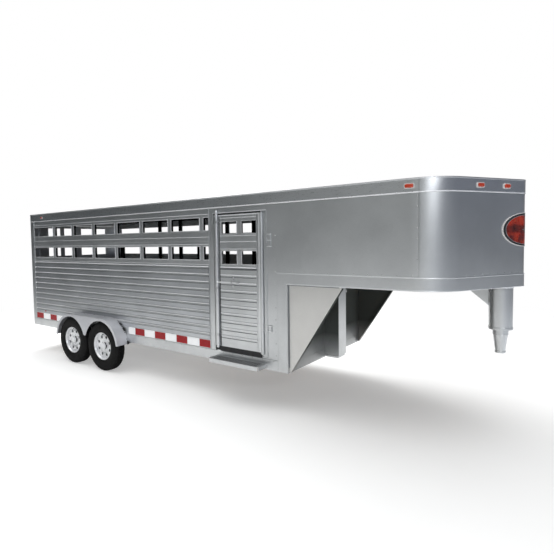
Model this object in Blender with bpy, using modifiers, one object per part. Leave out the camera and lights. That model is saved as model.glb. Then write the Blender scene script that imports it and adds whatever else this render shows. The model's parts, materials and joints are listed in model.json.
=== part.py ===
"""A tandem-axle gooseneck livestock trailer at full size, in metres.

+X points to the nose, +Y to the trailer's left and +Z up. The origin is on the ground, on the
centreline, midway between the rear hinge hardware and the tip of the nose.
"""

import math

import bmesh
import bpy
from mathutils import Matrix, Vector

# Driving dimensions, in metres. Stations are distances forward of the rear frame's back face.
BODY_LENGTH = 7.840
BOX_LENGTH = 5.680
REAR_REACH = 0.037
HALF_WIDTH = 1.0235
REAR_X = REAR_REACH - (BODY_LENGTH + REAR_REACH) / 2
GAP = 0.0003

RAIL_BOTTOM, RAIL_TOP = 0.477, 0.602
FLOOR_TOP = 0.6205
NECK_BOTTOM, NECK_TOP = 1.498, 1.630
BAND_BOTTOM, ROOF_TOP = 2.423, 2.560
RAIL_DEPTH = 0.060
POCKET_HALF, POCKET_FLOOR = 0.955, 0.582
SILL_DEPTH = 0.100
CORE_OUTER, CORE_INNER = 1.0155, 1.0035
POST_INNER = 0.972

POST_FIRST, POST_PITCH, POST_WIDTH = 0.805, 0.596, 0.072
UPPER_WINDOW = (2.148, 2.310)
LOWER_WINDOW = (1.767, 1.936)
SLAT_BOTTOM, SLAT_PITCH, SLAT_COUNT = 0.722, 0.0965, 10
SLATS_FROM, SLATS_TO = 0.125, 4.500

DOOR_OPENING = (4.595, 5.385)
DOOR_HEIGHT = (0.621, 2.342)
DOOR_LEAF = (4.603, 5.316)
DOOR_LEAF_HEIGHT = (0.640, 2.332)
DOOR_AXIS = (5.340, -1.0300)
DOOR_ROD = (4.660, -1.0420)
FRONT_POST = 5.540
CENTRE_GATE = 2.592

WHEEL_STATIONS = {"rear": 1.575, "front": 2.393}
WHEEL_RADIUS = 0.390
WHEEL_MID, TYRE_HALF = 1.122, 0.091
ARM_BACK, ARM_RISE = 0.147, 0.041
FENDER_OUTER = 1.235
FENDER_RADIUS, ARCH_RADIUS = 0.440, 0.403

CORNER_RADIUS, TIP_RADIUS = 0.45, 0.12
NOSE_ANGLE = math.radians(61)
COUPLER_STATION = 7.640
JACK_HALF, JACK_DEPTH = 0.110, 0.196
CRANK_AXIS = (5.856, 1.325)

COLOURS = {
    "silver_paint": ((0.40, 0.41, 0.43), 0.38, 0.75),
    "bright_metal": ((0.62, 0.63, 0.65), 0.28, 0.9),
    "rubber": ((0.02, 0.02, 0.02), 0.85, 0.0),
    "dark_steel": ((0.08, 0.08, 0.09), 0.55, 0.6),
    "timber": ((0.28, 0.20, 0.13), 0.8, 0.0),
    "lens_orange": ((0.85, 0.16, 0.03), 0.2, 0.0),
    "badge_red": ((0.60, 0.03, 0.02), 0.3, 0.2),
}


def at(station):
    """X of a station measured forward from the rear frame's back face."""
    return REAR_X + station


# ---------------------------------------------------------------- helpers


def clear_scene():
    for obj in list(bpy.data.objects):
        bpy.data.objects.remove(obj, do_unlink=True)


def new_collection(name):
    collection = bpy.data.collections.new(name)
    bpy.context.scene.collection.children.link(collection)
    return collection


def principled(name):
    colour, roughness, metallic = COLOURS[name]
    material = bpy.data.materials.new(name)
    material.use_nodes = True
    shader = material.node_tree.nodes["Principled BSDF"]
    shader.inputs["Base Color"].default_value = (*colour, 1.0)
    shader.inputs["Roughness"].default_value = roughness
    shader.inputs["Metallic"].default_value = metallic
    return material


def mesh_object(name, bm):
    """A new object in world coordinates from a bmesh, which is freed."""
    bmesh.ops.recalc_face_normals(bm, faces=bm.faces)
    if bm.calc_volume(signed=True) < 0:
        bmesh.ops.reverse_faces(bm, faces=bm.faces)
    mesh = bpy.data.meshes.new(name)
    bm.to_mesh(mesh)
    bm.free()
    obj = bpy.data.objects.new(name, mesh)
    PARTS.objects.link(obj)
    return obj


def evaluated_copy(obj):
    bpy.context.view_layer.update()
    return bpy.data.meshes.new_from_object(obj.evaluated_get(bpy.context.evaluated_depsgraph_get()))


def boolean(obj, tool, operation):
    """Joins or cuts obj with a tool object, which is used up."""
    modifier = obj.modifiers.new(operation, "BOOLEAN")
    modifier.operation = operation
    modifier.object = tool
    mesh = evaluated_copy(obj)
    obj.modifiers.clear()
    bm = bmesh.new()
    bm.from_mesh(mesh)
    bmesh.ops.dissolve_limit(bm, angle_limit=math.radians(0.05), verts=bm.verts, edges=bm.edges)
    bm.to_mesh(mesh)
    bm.free()
    obj.data = mesh
    bpy.data.objects.remove(tool, do_unlink=True)
    return obj


def gathered(tools):
    """One tool object holding several bodies that don't touch one another."""
    bm = bmesh.new()
    for tool in tools:
        bm.from_mesh(tool.data)
        bpy.data.objects.remove(tool, do_unlink=True)
    return mesh_object("tools", bm)


def join(obj, *tools):
    return boolean(obj, gathered(tools) if len(tools) > 1 else tools[0], "UNION")


def cut(obj, *tools):
    return boolean(obj, gathered(tools) if len(tools) > 1 else tools[0], "DIFFERENCE")


def box(name, x, y, z):
    """A box between two values on each axis."""
    bm = bmesh.new()
    size = Vector((x[1] - x[0], y[1] - y[0], z[1] - z[0]))
    middle = Vector(((x[0] + x[1]) / 2, (y[0] + y[1]) / 2, (z[0] + z[1]) / 2))
    bmesh.ops.create_cube(bm, size=1.0, matrix=Matrix.Translation(middle) @ Matrix.Diagonal((*size, 1.0)))
    return mesh_object(name, bm)


AXES = {
    "X": Matrix(((0, 0, 1, 0), (1, 0, 0, 0), (0, 1, 0, 0), (0, 0, 0, 1))),
    "Y": Matrix(((1, 0, 0, 0), (0, 0, -1, 0), (0, 1, 0, 0), (0, 0, 0, 1))),
    "Z": Matrix.Identity(4),
}


def plate(name, facing, low, high, outline, *holes):
    """A flat outline given thickness from low to high along an axis, with holes cut through it.

    Facing X, a point is (y, z). Facing Y it is (x, z), and facing Z it is (x, y).
    """
    curve = bpy.data.curves.new(name, "CURVE")
    curve.dimensions = "2D"
    curve.fill_mode = "BOTH"
    curve.extrude = (high - low) / 2
    spline = curve.splines.new("POLY")
    spline.points.add(len(outline) - 1)
    for point, (u, v) in zip(spline.points, outline):
        point.co = (u, v, 0.0, 1.0)
    spline.use_cyclic_u = True
    flat = bpy.data.objects.new(name, curve)
    PARTS.objects.link(flat)
    mesh = evaluated_copy(flat)
    bpy.data.objects.remove(flat, do_unlink=True)
    bm = bmesh.new()
    bm.from_mesh(mesh)
    bmesh.ops.remove_doubles(bm, verts=bm.verts, dist=0.00001)
    offset = Vector((0.0, 0.0, 0.0))
    offset["XYZ".index(facing)] = (low + high) / 2
    bmesh.ops.transform(bm, matrix=Matrix.Translation(offset) @ AXES[facing], verts=bm.verts)
    solid = mesh_object(name, bm)
    if holes:
        cut(solid, *[plate("hole", facing, low - 0.02, high + 0.02, hole) for hole in holes])
    return solid


def rectangle(u, v):
    return [(u[0], v[0]), (u[1], v[0]), (u[1], v[1]), (u[0], v[1])]


def arc(centre, radius, start, end, steps):
    """Points on an arc, in degrees, both ends included."""
    angles = [math.radians(start + (end - start) * i / steps) for i in range(steps + 1)]
    return [(centre[0] + radius * math.cos(a), centre[1] + radius * math.sin(a)) for a in angles]


def rod(name, start, end, radius, segments=12, end_radius=None):
    """A cylinder, or a cone, between two points."""
    start, end = Vector(start), Vector(end)
    bm = bmesh.new()
    turn = (end - start).to_track_quat("Z", "Y").to_matrix().to_4x4()
    bmesh.ops.create_cone(
        bm,
        cap_ends=True,
        segments=segments,
        radius1=radius,
        radius2=radius if end_radius is None else end_radius,
        depth=(end - start).length,
        matrix=Matrix.Translation((start + end) / 2) @ turn,
    )
    return mesh_object(name, bm)


def turned(name, profile, place, segments):
    """A closed profile of (radius, height) points turned about its own Z with a Screw modifier."""
    mesh = bpy.data.meshes.new(name)
    count = len(profile)
    edges = [(i, (i + 1) % count) for i in range(count)]
    if profile[0][0] < 1e-9:
        edges.pop()
    mesh.from_pydata([(r, 0.0, h) for r, h in profile], edges, [])
    obj = bpy.data.objects.new(name, mesh)
    PARTS.objects.link(obj)
    screw = obj.modifiers.new("turn", "SCREW")
    screw.steps = segments
    screw.render_steps = segments
    screw.use_merge_vertices = True
    screw.merge_threshold = 0.0001
    obj.data = evaluated_copy(obj)
    obj.modifiers.clear()
    bm = bmesh.new()
    bm.from_mesh(obj.data)
    bmesh.ops.remove_doubles(bm, verts=bm.verts, dist=0.00001)
    bmesh.ops.transform(bm, matrix=place, verts=bm.verts)
    bpy.data.objects.remove(obj, do_unlink=True)
    return mesh_object(name, bm)


def mirrored(obj, name):
    """A copy of obj on the other side of the centreline."""
    bm = bmesh.new()
    bm.from_mesh(obj.data)
    bmesh.ops.transform(bm, matrix=Matrix.Diagonal((1, -1, 1, 1)), verts=bm.verts)
    bmesh.ops.reverse_faces(bm, faces=bm.faces)
    return mesh_object(name, bm)


def finish(obj, material, origin=(0.0, 0.0, 0.0), sharp=35.0):
    """Gives an object its material, its origin and smooth round faces."""
    origin = Vector(origin)
    obj.data.transform(Matrix.Translation(-origin))
    obj.location = origin
    obj.data.materials.clear()
    obj.data.materials.append(MATERIALS[material])
    obj.data.shade_smooth()
    obj.data.set_sharp_from_angle(angle=math.radians(sharp))
    return obj


# ---------------------------------------------------------------- plan outline of the body


def nose_half(inset):
    """Right half of the nose in plan, from the side wall forward to the tip, as (x, y) points."""
    radius = CORNER_RADIUS - inset
    tip_radius = TIP_RADIUS - min(inset, TIP_RADIUS - 0.01)
    sharp_tip = BODY_LENGTH + TIP_RADIUS * (1 / math.sin(NOSE_ANGLE) - 1)
    centre_y = -(HALF_WIDTH - CORNER_RADIUS)
    reach = (CORNER_RADIUS - centre_y * math.cos(NOSE_ANGLE)) / math.sin(NOSE_ANGLE)
    centre_x = at(sharp_tip - reach)
    turn = math.degrees(NOSE_ANGLE)
    corner = arc((centre_x, centre_y), radius, -90, -90 + turn, 10)
    apex = sharp_tip - inset / math.sin(NOSE_ANGLE)
    tip_centre = at(apex - tip_radius / math.sin(NOSE_ANGLE))
    tip = arc((tip_centre, 0.0), tip_radius, -90 + turn, 0, 4)
    return corner + tip


def nose_path(inset, start):
    """The body's plan from a station on the right side, round the nose, to the left side."""
    half = nose_half(inset)
    side = [(at(start), -(HALF_WIDTH - inset))]
    right = side + half
    left = [(x, -y) for x, y in reversed(right[:-1])]
    return right + left


def nose_strip(outer, inner, start):
    """A U-shaped outline between two insets."""
    return nose_path(outer, start) + list(reversed(nose_path(inner, start)))


# ---------------------------------------------------------------- frame and floor


def build_chassis():
    """Side rails with cross members between them, and two stringers over the axles."""
    inner = HALF_WIDTH - RAIL_DEPTH
    member, count = 0.060, 13
    pitch = (BOX_LENGTH - member) / (count - 1)
    outline = [
        (at(0), -HALF_WIDTH), (at(FRONT_POST) - GAP, -HALF_WIDTH), (at(FRONT_POST) - GAP, -inner + GAP),
        (at(BOX_LENGTH), -inner + GAP), (at(BOX_LENGTH), inner - GAP),
        (at(FRONT_POST) - GAP, inner - GAP), (at(FRONT_POST) - GAP, HALF_WIDTH), (at(0), HALF_WIDTH),
    ]
    bays = []
    for i in range(count - 1):
        span = (at(i * pitch + member if i else SILL_DEPTH + 0.01), at((i + 1) * pitch))
        edge = inner if i < count - 2 else inner - 0.05
        bays += [rectangle(span, (-edge, -0.02)), rectangle(span, (0.02, edge))]
    frame = plate("chassis_frame", "Z", RAIL_BOTTOM, RAIL_TOP, outline, *bays)
    pocket = box("pocket", (at(SILL_DEPTH), at(BOX_LENGTH) + 0.1), (-POCKET_HALF, POCKET_HALF),
                 (POCKET_FLOOR, 0.7))
    cut(frame, pocket)
    return finish(frame, "silver_paint")


def build_floor():
    """Lengthwise boards with a shallow groove at each joint."""
    boards, half, groove, depth = 9, POCKET_HALF - GAP, 0.003, 0.005
    width = 2 * half / boards
    top = []
    for i in range(boards):
        left = -half + i * width
        top += [(left + groove / 2 if i else left, FLOOR_TOP)]
        right = left + width
        if i < boards - 1:
            top += [(right - groove / 2, FLOOR_TOP), (right - groove / 2, FLOOR_TOP - depth),
                    (right + groove / 2, FLOOR_TOP - depth)]
        else:
            top += [(right, FLOOR_TOP)]
    outline = top + [(half, POCKET_FLOOR + GAP), (-half, POCKET_FLOOR + GAP)]
    floor = plate("floor_deck", "X", at(SILL_DEPTH) + GAP, at(BOX_LENGTH - 0.022), outline)
    return finish(floor, "timber")


def build_rear_frame():
    outline = [
        (-HALF_WIDTH, RAIL_TOP + GAP), (-0.930, RAIL_TOP + GAP), (-0.930, 2.366), (0.930, 2.366),
        (0.930, RAIL_TOP + GAP), (HALF_WIDTH, RAIL_TOP + GAP),
        (HALF_WIDTH, BAND_BOTTOM - GAP), (-HALF_WIDTH, BAND_BOTTOM - GAP),
    ]
    return finish(plate("rear_frame", "X", at(0), at(SILL_DEPTH), outline), "silver_paint")


# ---------------------------------------------------------------- walls


def window_spans(last):
    """Start and end station of each opening between the posts, up to a last station."""
    posts = [POST_FIRST + i * POST_PITCH for i in range(9)]
    edges = [0.127] + [p + s * POST_WIDTH / 2 for p in posts for s in (-1, 1)]
    spans = [(edges[i], edges[i + 1]) for i in range(0, len(edges) - 1, 2)]
    spans = [(a, min(b, last)) for a, b in spans if a < last - 0.05]
    return spans, [p for p in posts if p < last]


def slat(name, span, bottom):
    """One pressed slat: a shallow bulge with a lip at its lower edge."""
    top = bottom + SLAT_PITCH
    outline = [
        (CORE_OUTER - 0.004, bottom + 0.002), (CORE_OUTER + 0.0055, bottom + 0.004),
        (CORE_OUTER + 0.0072, bottom + 0.016), (CORE_OUTER + 0.0072, bottom + 0.060),
        (CORE_OUTER + 0.0040, top - 0.010), (CORE_OUTER - 0.004, top - 0.004),
    ]
    return plate(name, "X", span[0], span[1], [(-y, z) for y, z in outline])


def build_wall(name, slats_to, has_door):
    """One side wall: sheet with openings, pressed slats outside and posts inside."""
    sheet_top = BAND_BOTTOM - GAP
    span = (at(SILL_DEPTH) + GAP, at(FRONT_POST) - GAP)
    windows, posts = window_spans(4.503 if has_door else DOOR_OPENING[1])
    holes = []
    for start, end in windows:
        holes.append(rectangle((at(start), at(end)), LOWER_WINDOW))
        holes.append(rectangle((at(start), at(end)), UPPER_WINDOW))
    if has_door:
        holes.append(rectangle((at(DOOR_OPENING[0]), at(DOOR_OPENING[1])), DOOR_HEIGHT))
    wall = plate(
        name, "Y", -CORE_OUTER, -CORE_INNER,
        rectangle(span, (RAIL_TOP + GAP, sheet_top)), *holes,
    )
    along = (at(SLATS_FROM), at(slats_to))
    pressings = [slat("slat", along, SLAT_BOTTOM + i * SLAT_PITCH) for i in range(SLAT_COUNT)]
    pressings.append(box("ridge", along, (-CORE_OUTER - 0.006, -CORE_OUTER + 0.004), (2.004, 2.058)))
    for post in posts + ([4.548, 5.412] if has_door else []):
        half = 0.026 if post > 4.5 and has_door else POST_WIDTH / 2 - 0.004
        pressings.append(box("post", (at(post - half), at(post + half)), (-CORE_INNER - 0.004, -POST_INNER),
                             (FLOOR_TOP + 0.004, sheet_top - 0.002)))
    return join(wall, *pressings)


def build_right_wall():
    return finish(build_wall("right_wall", SLATS_TO, True), "silver_paint")


def build_left_wall():
    """The left wall has no door, and carries the centre gate's two upward hinge pins."""
    source = build_wall("left_half", DOOR_OPENING[1], False)
    wall = mirrored(source, "left_wall")
    bpy.data.objects.remove(source, do_unlink=True)
    x = at(CENTRE_GATE)
    heights = CENTRE_GATE_LUGS
    join(wall, *[box("lug", (x - 0.018, x + 0.018), (0.916, POST_INNER + 0.006), (h - 0.024, h))
                 for h in heights])
    join(wall, *[rod("pin", (x, 0.930, h - 0.01), (x, 0.930, h + 0.060), 0.0085, 12) for h in heights])
    return finish(wall, "silver_paint")


# ---------------------------------------------------------------- roof, nose and neck


def build_top_rail():
    """The fascia band right round the top."""
    rail = plate("top_rail", "Z", BAND_BOTTOM, ROOF_TOP, nose_path(0.0, 0.0), nose_path(0.050, 0.050))
    return finish(rail, "silver_paint")


def build_roof():
    """Roof sheet set inside the band, with a bow under it at each post."""
    low, high = 2.546, 2.556
    roof = plate("roof_sheet", "Z", low, high, nose_path(0.050 + GAP, 0.050 + GAP))
    stations = [POST_FIRST + i * POST_PITCH for i in range(9)]
    join(roof, *[box("bow", (at(s - 0.02), at(s + 0.02)), (-0.968, 0.968), (2.500, low + 0.003))
                 for s in stations])
    return finish(roof, "silver_paint")


def build_nose_sheet():
    outer, inner = HALF_WIDTH - 1.0195, HALF_WIDTH - 1.0160
    sheet = plate("nose_sheet", "Z", NECK_TOP + GAP, BAND_BOTTOM - GAP, nose_strip(outer, inner, 5.3955))
    return finish(sheet, "silver_paint")


def build_neck_frame():
    """Neck rail round the nose, front corner posts, and beams that carry the coupler."""
    inner = HALF_WIDTH - RAIL_DEPTH
    frame = plate("neck_frame", "Z", NECK_BOTTOM, NECK_TOP, nose_strip(0.0, RAIL_DEPTH, FRONT_POST))
    for side in (-1, 1):
        y = sorted((side * inner, side * HALF_WIDTH))
        join(frame, box("leg", (at(FRONT_POST), at(BOX_LENGTH)), y, (RAIL_BOTTOM, NECK_TOP)))
    for station in (5.62, 6.25, 6.85, 7.29):
        half = inner + 0.02 if station < 7.2 else 0.80
        join(frame, box("cross_beam", (at(station), at(station + 0.05)), (-half, half), (1.5100, 1.5830)))
    for side in (-1, 1):
        y = sorted((side * 0.06, side * 0.11))
        join(frame, box("beam", (at(5.64), at(7.735)), y, (1.5060, 1.5800)))
    return finish(frame, "silver_paint")


def build_neck_floor():
    floor = plate("neck_floor", "Z", 1.5833, 1.6080, nose_path(RAIL_DEPTH + GAP, 5.6603))
    return finish(floor, "timber")


def build_bulkhead():
    half, tongue, low, top = HALF_WIDTH - RAIL_DEPTH - GAP, POCKET_HALF - GAP, POCKET_FLOOR + GAP, 1.5057
    outline = [(tongue, low), (tongue, RAIL_TOP + GAP), (half, RAIL_TOP + GAP), (half, top)]
    outline += [(-y, z) for y, z in reversed(outline)]
    panel = plate("bulkhead", "X", at(5.6720), at(5.6797), outline)
    return finish(panel, "silver_paint")


def build_gussets():
    """A triangular side plate under the neck, with a folded flange along its sloping edge."""
    front, low = at(BOX_LENGTH + 0.645), RAIL_BOTTOM + 0.006
    back, top = at(BOX_LENGTH) + GAP, NECK_BOTTOM - GAP
    outline = [(back, low), (back + 0.020, low), (front, top - 0.020), (front, top), (back, top)]
    right = plate("right_gusset", "Y", -0.997, -0.991, outline)
    slope = (front - back - 0.020, top - 0.020 - low)
    length = math.hypot(*slope)
    normal = (slope[1] / length * 0.006, -slope[0] / length * 0.006)
    edge = [(back + 0.020, low), (front, top - 0.020)]
    flange = [edge[0], edge[1], (edge[1][0] - normal[0], edge[1][1] - normal[1]),
              (edge[0][0] - normal[0], edge[0][1] - normal[1])]
    join(right, plate("flange", "Y", -0.9965, -0.940, flange))
    left = mirrored(right, "left_gusset")
    return finish(right, "silver_paint"), finish(left, "silver_paint")


def build_coupler():
    """Outer tube, brace plate, sliding inner tube with a ball socket, and the ball latch."""
    x = at(COUPLER_STATION)
    place = Matrix.Translation((x, 0, 0))
    top = NECK_BOTTOM - GAP
    outer = turned("coupler_outer_tube", [(0.110, top), (0.110, 1.040), (0.076, 1.040), (0.076, top)],
                   place, 32)
    brace = plate("coupler_brace", "Y", -0.007, 0.007,
                  [(at(7.285), top), (at(7.285), top - 0.012), (x - 0.112, 1.280), (x - 0.1105, 1.290),
                   (x - 0.1105, top)])
    ball, mouth = 0.0298, 0.790
    socket = [(ball * math.cos(math.radians(a)), mouth + 0.022 + ball * math.sin(math.radians(a)))
              for a in range(-40, 90, 32)]
    profile = [(0.0, 1.430), (0.0735, 1.430), (0.0735, 0.992), (0.0690, 0.990), (0.0690, 0.986),
               (0.0455, mouth), (0.0300, mouth)] + socket + [(0.0, mouth + 0.022 + ball)]
    inner = turned("coupler_inner_tube", profile, place, 28)
    hole = rod("hole", (x, 0.012, 0.830), (x, 0.100, 0.830), 0.0085)
    cut(inner, hole)
    latch = rod("coupler_latch", (x, 0.0335, 0.830), (x, 0.092, 0.830), 0.0070)
    join(latch, rod("grip", (x - 0.028, 0.090, 0.830), (x + 0.028, 0.090, 0.830), 0.0065))
    finish(outer, "silver_paint")
    finish(brace, "silver_paint")
    finish(inner, "silver_paint", (x, 0, mouth))
    finish(latch, "bright_metal", (x, 0.090, 0.830))


# ---------------------------------------------------------------- running gear


def fender_loops():
    """Top outline and lower edge of the tandem fender in side view, as (x, z) points."""
    rear, front = (at(WHEEL_STATIONS[name]) for name in ("rear", "front"))
    middle = (rear + front) / 2
    half_valley = 0.046
    reach = middle - rear - half_valley
    valley_angle = math.degrees(math.acos(reach / ARCH_RADIUS))
    valley_height = WHEEL_RADIUS + math.sqrt(ARCH_RADIUS ** 2 - reach ** 2)
    top = arc((rear, WHEEL_RADIUS), FENDER_RADIUS, 172, 90, 10)
    top += arc((front, WHEEL_RADIUS), FENDER_RADIUS, 90, 8, 10)
    lower = arc((front, WHEEL_RADIUS), ARCH_RADIUS, 8, 180 - valley_angle, 14)
    lower += arc((middle, valley_height), half_valley, 0, -180, 8)[1:-1]
    lower += arc((rear, WHEEL_RADIUS), ARCH_RADIUS, valley_angle, 172, 14)
    return top, lower


def build_fenders():
    """A sheet bent over the two wheels with a skirt on its outer edge."""
    top, lower = fender_loops()
    sheet = 0.004
    rear, front = (at(WHEEL_STATIONS[name]) for name in ("rear", "front"))

    def offset(amount):
        points = []
        for x, z in top:
            centre = min(max(x, rear), front)
            away = Vector((x - centre, z - WHEEL_RADIUS)).normalized()
            points.append((x - away.x * amount, z - away.y * amount))
        return points

    right = plate("right_fender", "Y", -FENDER_OUTER + 0.0015, -HALF_WIDTH - GAP, top + offset(sheet)[::-1])
    join(right, plate("skirt", "Y", -FENDER_OUTER, -FENDER_OUTER + sheet, offset(sheet / 2) + lower))
    left = mirrored(right, "left_fender")
    return finish(right, "silver_paint"), finish(left, "silver_paint")


def axis_place(x, z, side):
    """A frame whose own Z points outboard along a wheel's axis."""
    turn = Matrix.Rotation(math.radians(90 * side * -1), 4, "X")
    return Matrix.Translation((x, 0, z)) @ turn


def tyre_profile():
    half, outer, bead = TYRE_HALF, WHEEL_RADIUS, 0.2045
    mid = WHEEL_MID
    return [
        (bead, mid + 0.055), (bead + 0.022, mid + 0.078), (0.290, mid + half), (0.365, mid + 0.078),
        (outer, mid + 0.048), (outer, mid - 0.048), (0.365, mid - 0.078), (0.290, mid - half),
        (bead + 0.022, mid - 0.078), (bead, mid - 0.055),
    ]


def rim_profile():
    """Barrel with two flanges, and a disc dished outward, bored for the hub."""
    mid = WHEEL_MID
    return [
        (0.2140, mid + 0.069), (0.2035, mid + 0.056), (0.1960, mid + 0.030), (0.1960, mid - 0.040),
        (0.2035, mid - 0.056), (0.2140, mid - 0.069), (0.1900, mid - 0.044), (0.1900, mid + 0.008),
        (0.1450, mid + 0.026), (0.0900, mid + 0.013), (0.0520, mid + 0.013), (0.0520, mid + 0.019),
        (0.0900, mid + 0.019), (0.1450, mid + 0.032), (0.1880, mid + 0.020), (0.1950, mid + 0.055),
    ]


def hub_profile():
    """Hub barrel with a blind bore, the wheel flange, and the brake drum behind it."""
    mid = WHEEL_MID
    flange = mid + 0.0127
    return [
        (0.0, mid + 0.052), (0.030, mid + 0.052), (0.040, mid + 0.044), (0.042, flange), (0.0950, flange),
        (0.0950, flange - 0.010), (0.1500, flange - 0.012), (0.1500, 1.036), (0.1420, 1.036),
        (0.1420, flange - 0.020), (0.0440, flange - 0.020), (0.0440, 0.9905), (0.0190, 0.9905),
        (0.0190, mid + 0.040), (0.0, mid + 0.040),
    ]


def build_wheel(side_name, side, axle_name, station):
    x, z = at(station), WHEEL_RADIUS
    place = axis_place(x, z, side)
    prefix = f"{side_name}_{axle_name}"
    centre = (x, side * WHEEL_MID, z)
    tyre = turned(f"{prefix}_tyre", tyre_profile()[::-1], place, 32)
    rim = turned(f"{prefix}_wheel", rim_profile(), place, 20)
    holes = []
    for angle in [math.radians(22.5 + 45 * i) for i in range(8)]:
        u, v = x + 0.142 * math.cos(angle), z + 0.142 * math.sin(angle)
        holes.append(rod("hand_hole", (u, side * 1.10, v), (u, side * 1.20, v), 0.021, 6))
    cut(rim, *holes)
    hub = turned(f"{prefix}_hub", hub_profile(), place, 16)
    finish(tyre, "rubber", centre)
    finish(rim, "bright_metal", centre)
    finish(hub, "dark_steel", centre)
    build_arm(f"{prefix}_torsion_arm", side, x, z)


def build_arm(name, side, x, z):
    """Trailing arm: plate, spindle outboard, and splined stub that sits in the axle tube."""
    pivot = (x + ARM_BACK, z + ARM_RISE)
    slope = math.degrees(math.atan2(ARM_RISE, ARM_BACK))
    outline = arc((x, z), 0.034, 90 + slope, 270 + slope, 8) + arc(pivot, 0.036, -90 + slope, 90 + slope, 8)
    y = sorted((side * 0.9480, side * 0.9840))
    arm = plate(name, "Y", *y, outline)
    join(arm, rod("spindle", (x, side * 0.970, z), (x, side * (WHEEL_MID + 0.034), z), 0.0170))
    join(arm, rod("stub", (pivot[0], side * 0.960, pivot[1]), (pivot[0], side * 0.800, pivot[1]), 0.0290))
    return finish(arm, "dark_steel", (pivot[0], side * 0.966, pivot[1]))


def build_axle(axle_name, station):
    """Square axle tube, bored at both ends for the arms' stubs, with two hangers."""
    x, z = at(station) + ARM_BACK, WHEEL_RADIUS + ARM_RISE
    half, reach = 0.0440, 0.9450
    tube = box(f"{axle_name}_axle_tube", (x - half, x + half), (-reach, reach), (z - half, z + half))
    for side in (-1, 1):
        cut(tube, rod("bore", (x, side * 0.780, z), (x, side * 0.990, z), 0.0330))
        y = sorted((side * 0.740, side * 0.860))
        join(tube, box("hanger", (x - 0.075, x + 0.075), y, (z + 0.040, RAIL_BOTTOM - GAP)))
    return finish(tube, "dark_steel")


def build_running_gear():
    build_fenders()
    for axle_name, station in WHEEL_STATIONS.items():
        build_axle(axle_name, station)
        for side_name, side in (("right", -1), ("left", 1)):
            build_wheel(side_name, side, axle_name, station)


# ---------------------------------------------------------------- side door


DOOR_KNUCKLES = ((0.930, 1.010), (1.925, 2.085))
DOOR_TUBE = (0.652, 2.328)


def hinge_tube(name, centre, spans, outer, bore):
    """Hollow hinge tube in segments, each its own object."""
    pieces = []
    for low, high in spans:
        tube = rod(name, (*centre, low), (*centre, high), outer)
        pieces.append(cut(tube, rod("bore", (*centre, low - 0.01), (*centre, high + 0.01), bore, 12)))
    return pieces


def build_side_door():
    """Door leaf with four openings, pressed slats, rod guides and hinge tube."""
    outer, inner = -1.0195, -0.9915
    columns = ((4.727, 4.964), (5.042, 5.261))
    rows = ((2.095, 2.245), (1.717, 1.880))
    holes = [rectangle((at(a), at(b)), row) for a, b in columns for row in rows]
    leaf = (at(DOOR_LEAF[0]), at(DOOR_LEAF[1]))
    door = plate("side_door", "Y", outer, inner, rectangle(leaf, DOOR_LEAF_HEIGHT), *holes)
    bottoms = [SLAT_BOTTOM + i * SLAT_PITCH for i in range(9)]
    join(door, *[box("slat", (at(4.700), at(5.290)), (outer - 0.0045, outer + 0.003),
                     (b + 0.008, b + SLAT_PITCH - 0.012)) for b in bottoms])
    axis = (at(DOOR_AXIS[0]), DOOR_AXIS[1])
    low, high = DOOR_TUBE
    (a, b), (c, d) = DOOR_KNUCKLES
    spans = ((low, a - 0.001), (b + 0.001, c - 0.001), (d + 0.001, high))
    for tube in hinge_tube("tube", axis, spans, 0.0190, 0.0115):
        join(door, tube)
    for height in ((low, a - 0.003), (b + 0.003, c - 0.003), (d + 0.003, high)):
        join(door, box("web", (leaf[1] - 0.010, axis[0] - 0.0140), (-1.0250, -1.0135),
                       (height[0] + 0.002, height[1] - 0.002)))
    rod_at = (at(DOOR_ROD[0]), DOOR_ROD[1])
    for height in (0.800, 1.400, 2.230):
        guide = box("guide", (rod_at[0] - 0.021, rod_at[0] + 0.021), (rod_at[1] - 0.018, outer + 0.003),
                    (height, height + 0.030))
        cut(guide, rod("bore", (*rod_at, height - 0.01), (*rod_at, height + 0.04), 0.0136))
        join(door, guide)
    return finish(door, "silver_paint", (*axis, 1.5))


def build_side_door_hinge():
    """Fixed hinge pin with two brackets, each a wall plate and three fingers."""
    axis = (at(DOOR_AXIS[0]), DOOR_AXIS[1])
    hinge = rod("side_door_hinge", (*axis, DOOR_TUBE[0] - 0.008), (*axis, DOOR_TUBE[1] + 0.008), 0.0100)
    for low, high in DOOR_KNUCKLES:
        join(hinge, rod("knuckle", (*axis, low), (*axis, high), 0.0190))
        back = -1.0195 - GAP
        wall_plate = box("wall_plate", (at(5.430), at(5.463)), (back - 0.010, back),
                         (low + 0.002, high - 0.002))
        join(hinge, wall_plate)
        for height in (low + 0.008, (low + high) / 2, high - 0.008):
            join(hinge, box("finger", (axis[0] + 0.006, at(5.435)), (back - 0.009, back - 0.001),
                            (height - 0.005, height + 0.005)))
    return finish(hinge, "bright_metal")


def build_side_door_lock():
    """Vertical lock rod with a knob on top and a flat handle."""
    x, y = at(DOOR_ROD[0]), DOOR_ROD[1]
    lock = rod("side_door_lock", (x, y, 0.650), (x, y, 2.356), 0.0120)
    join(lock, rod("knob", (x, y, 2.352), (x, y, 2.388), 0.0165, 12, 0.0130))
    join(lock, box("handle", (x + 0.002, at(5.004)), (y - 0.007, y + 0.001), (1.478, 1.498)))
    return finish(lock, "bright_metal", (x, y, 1.5))


# ---------------------------------------------------------------- rear gate


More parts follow.
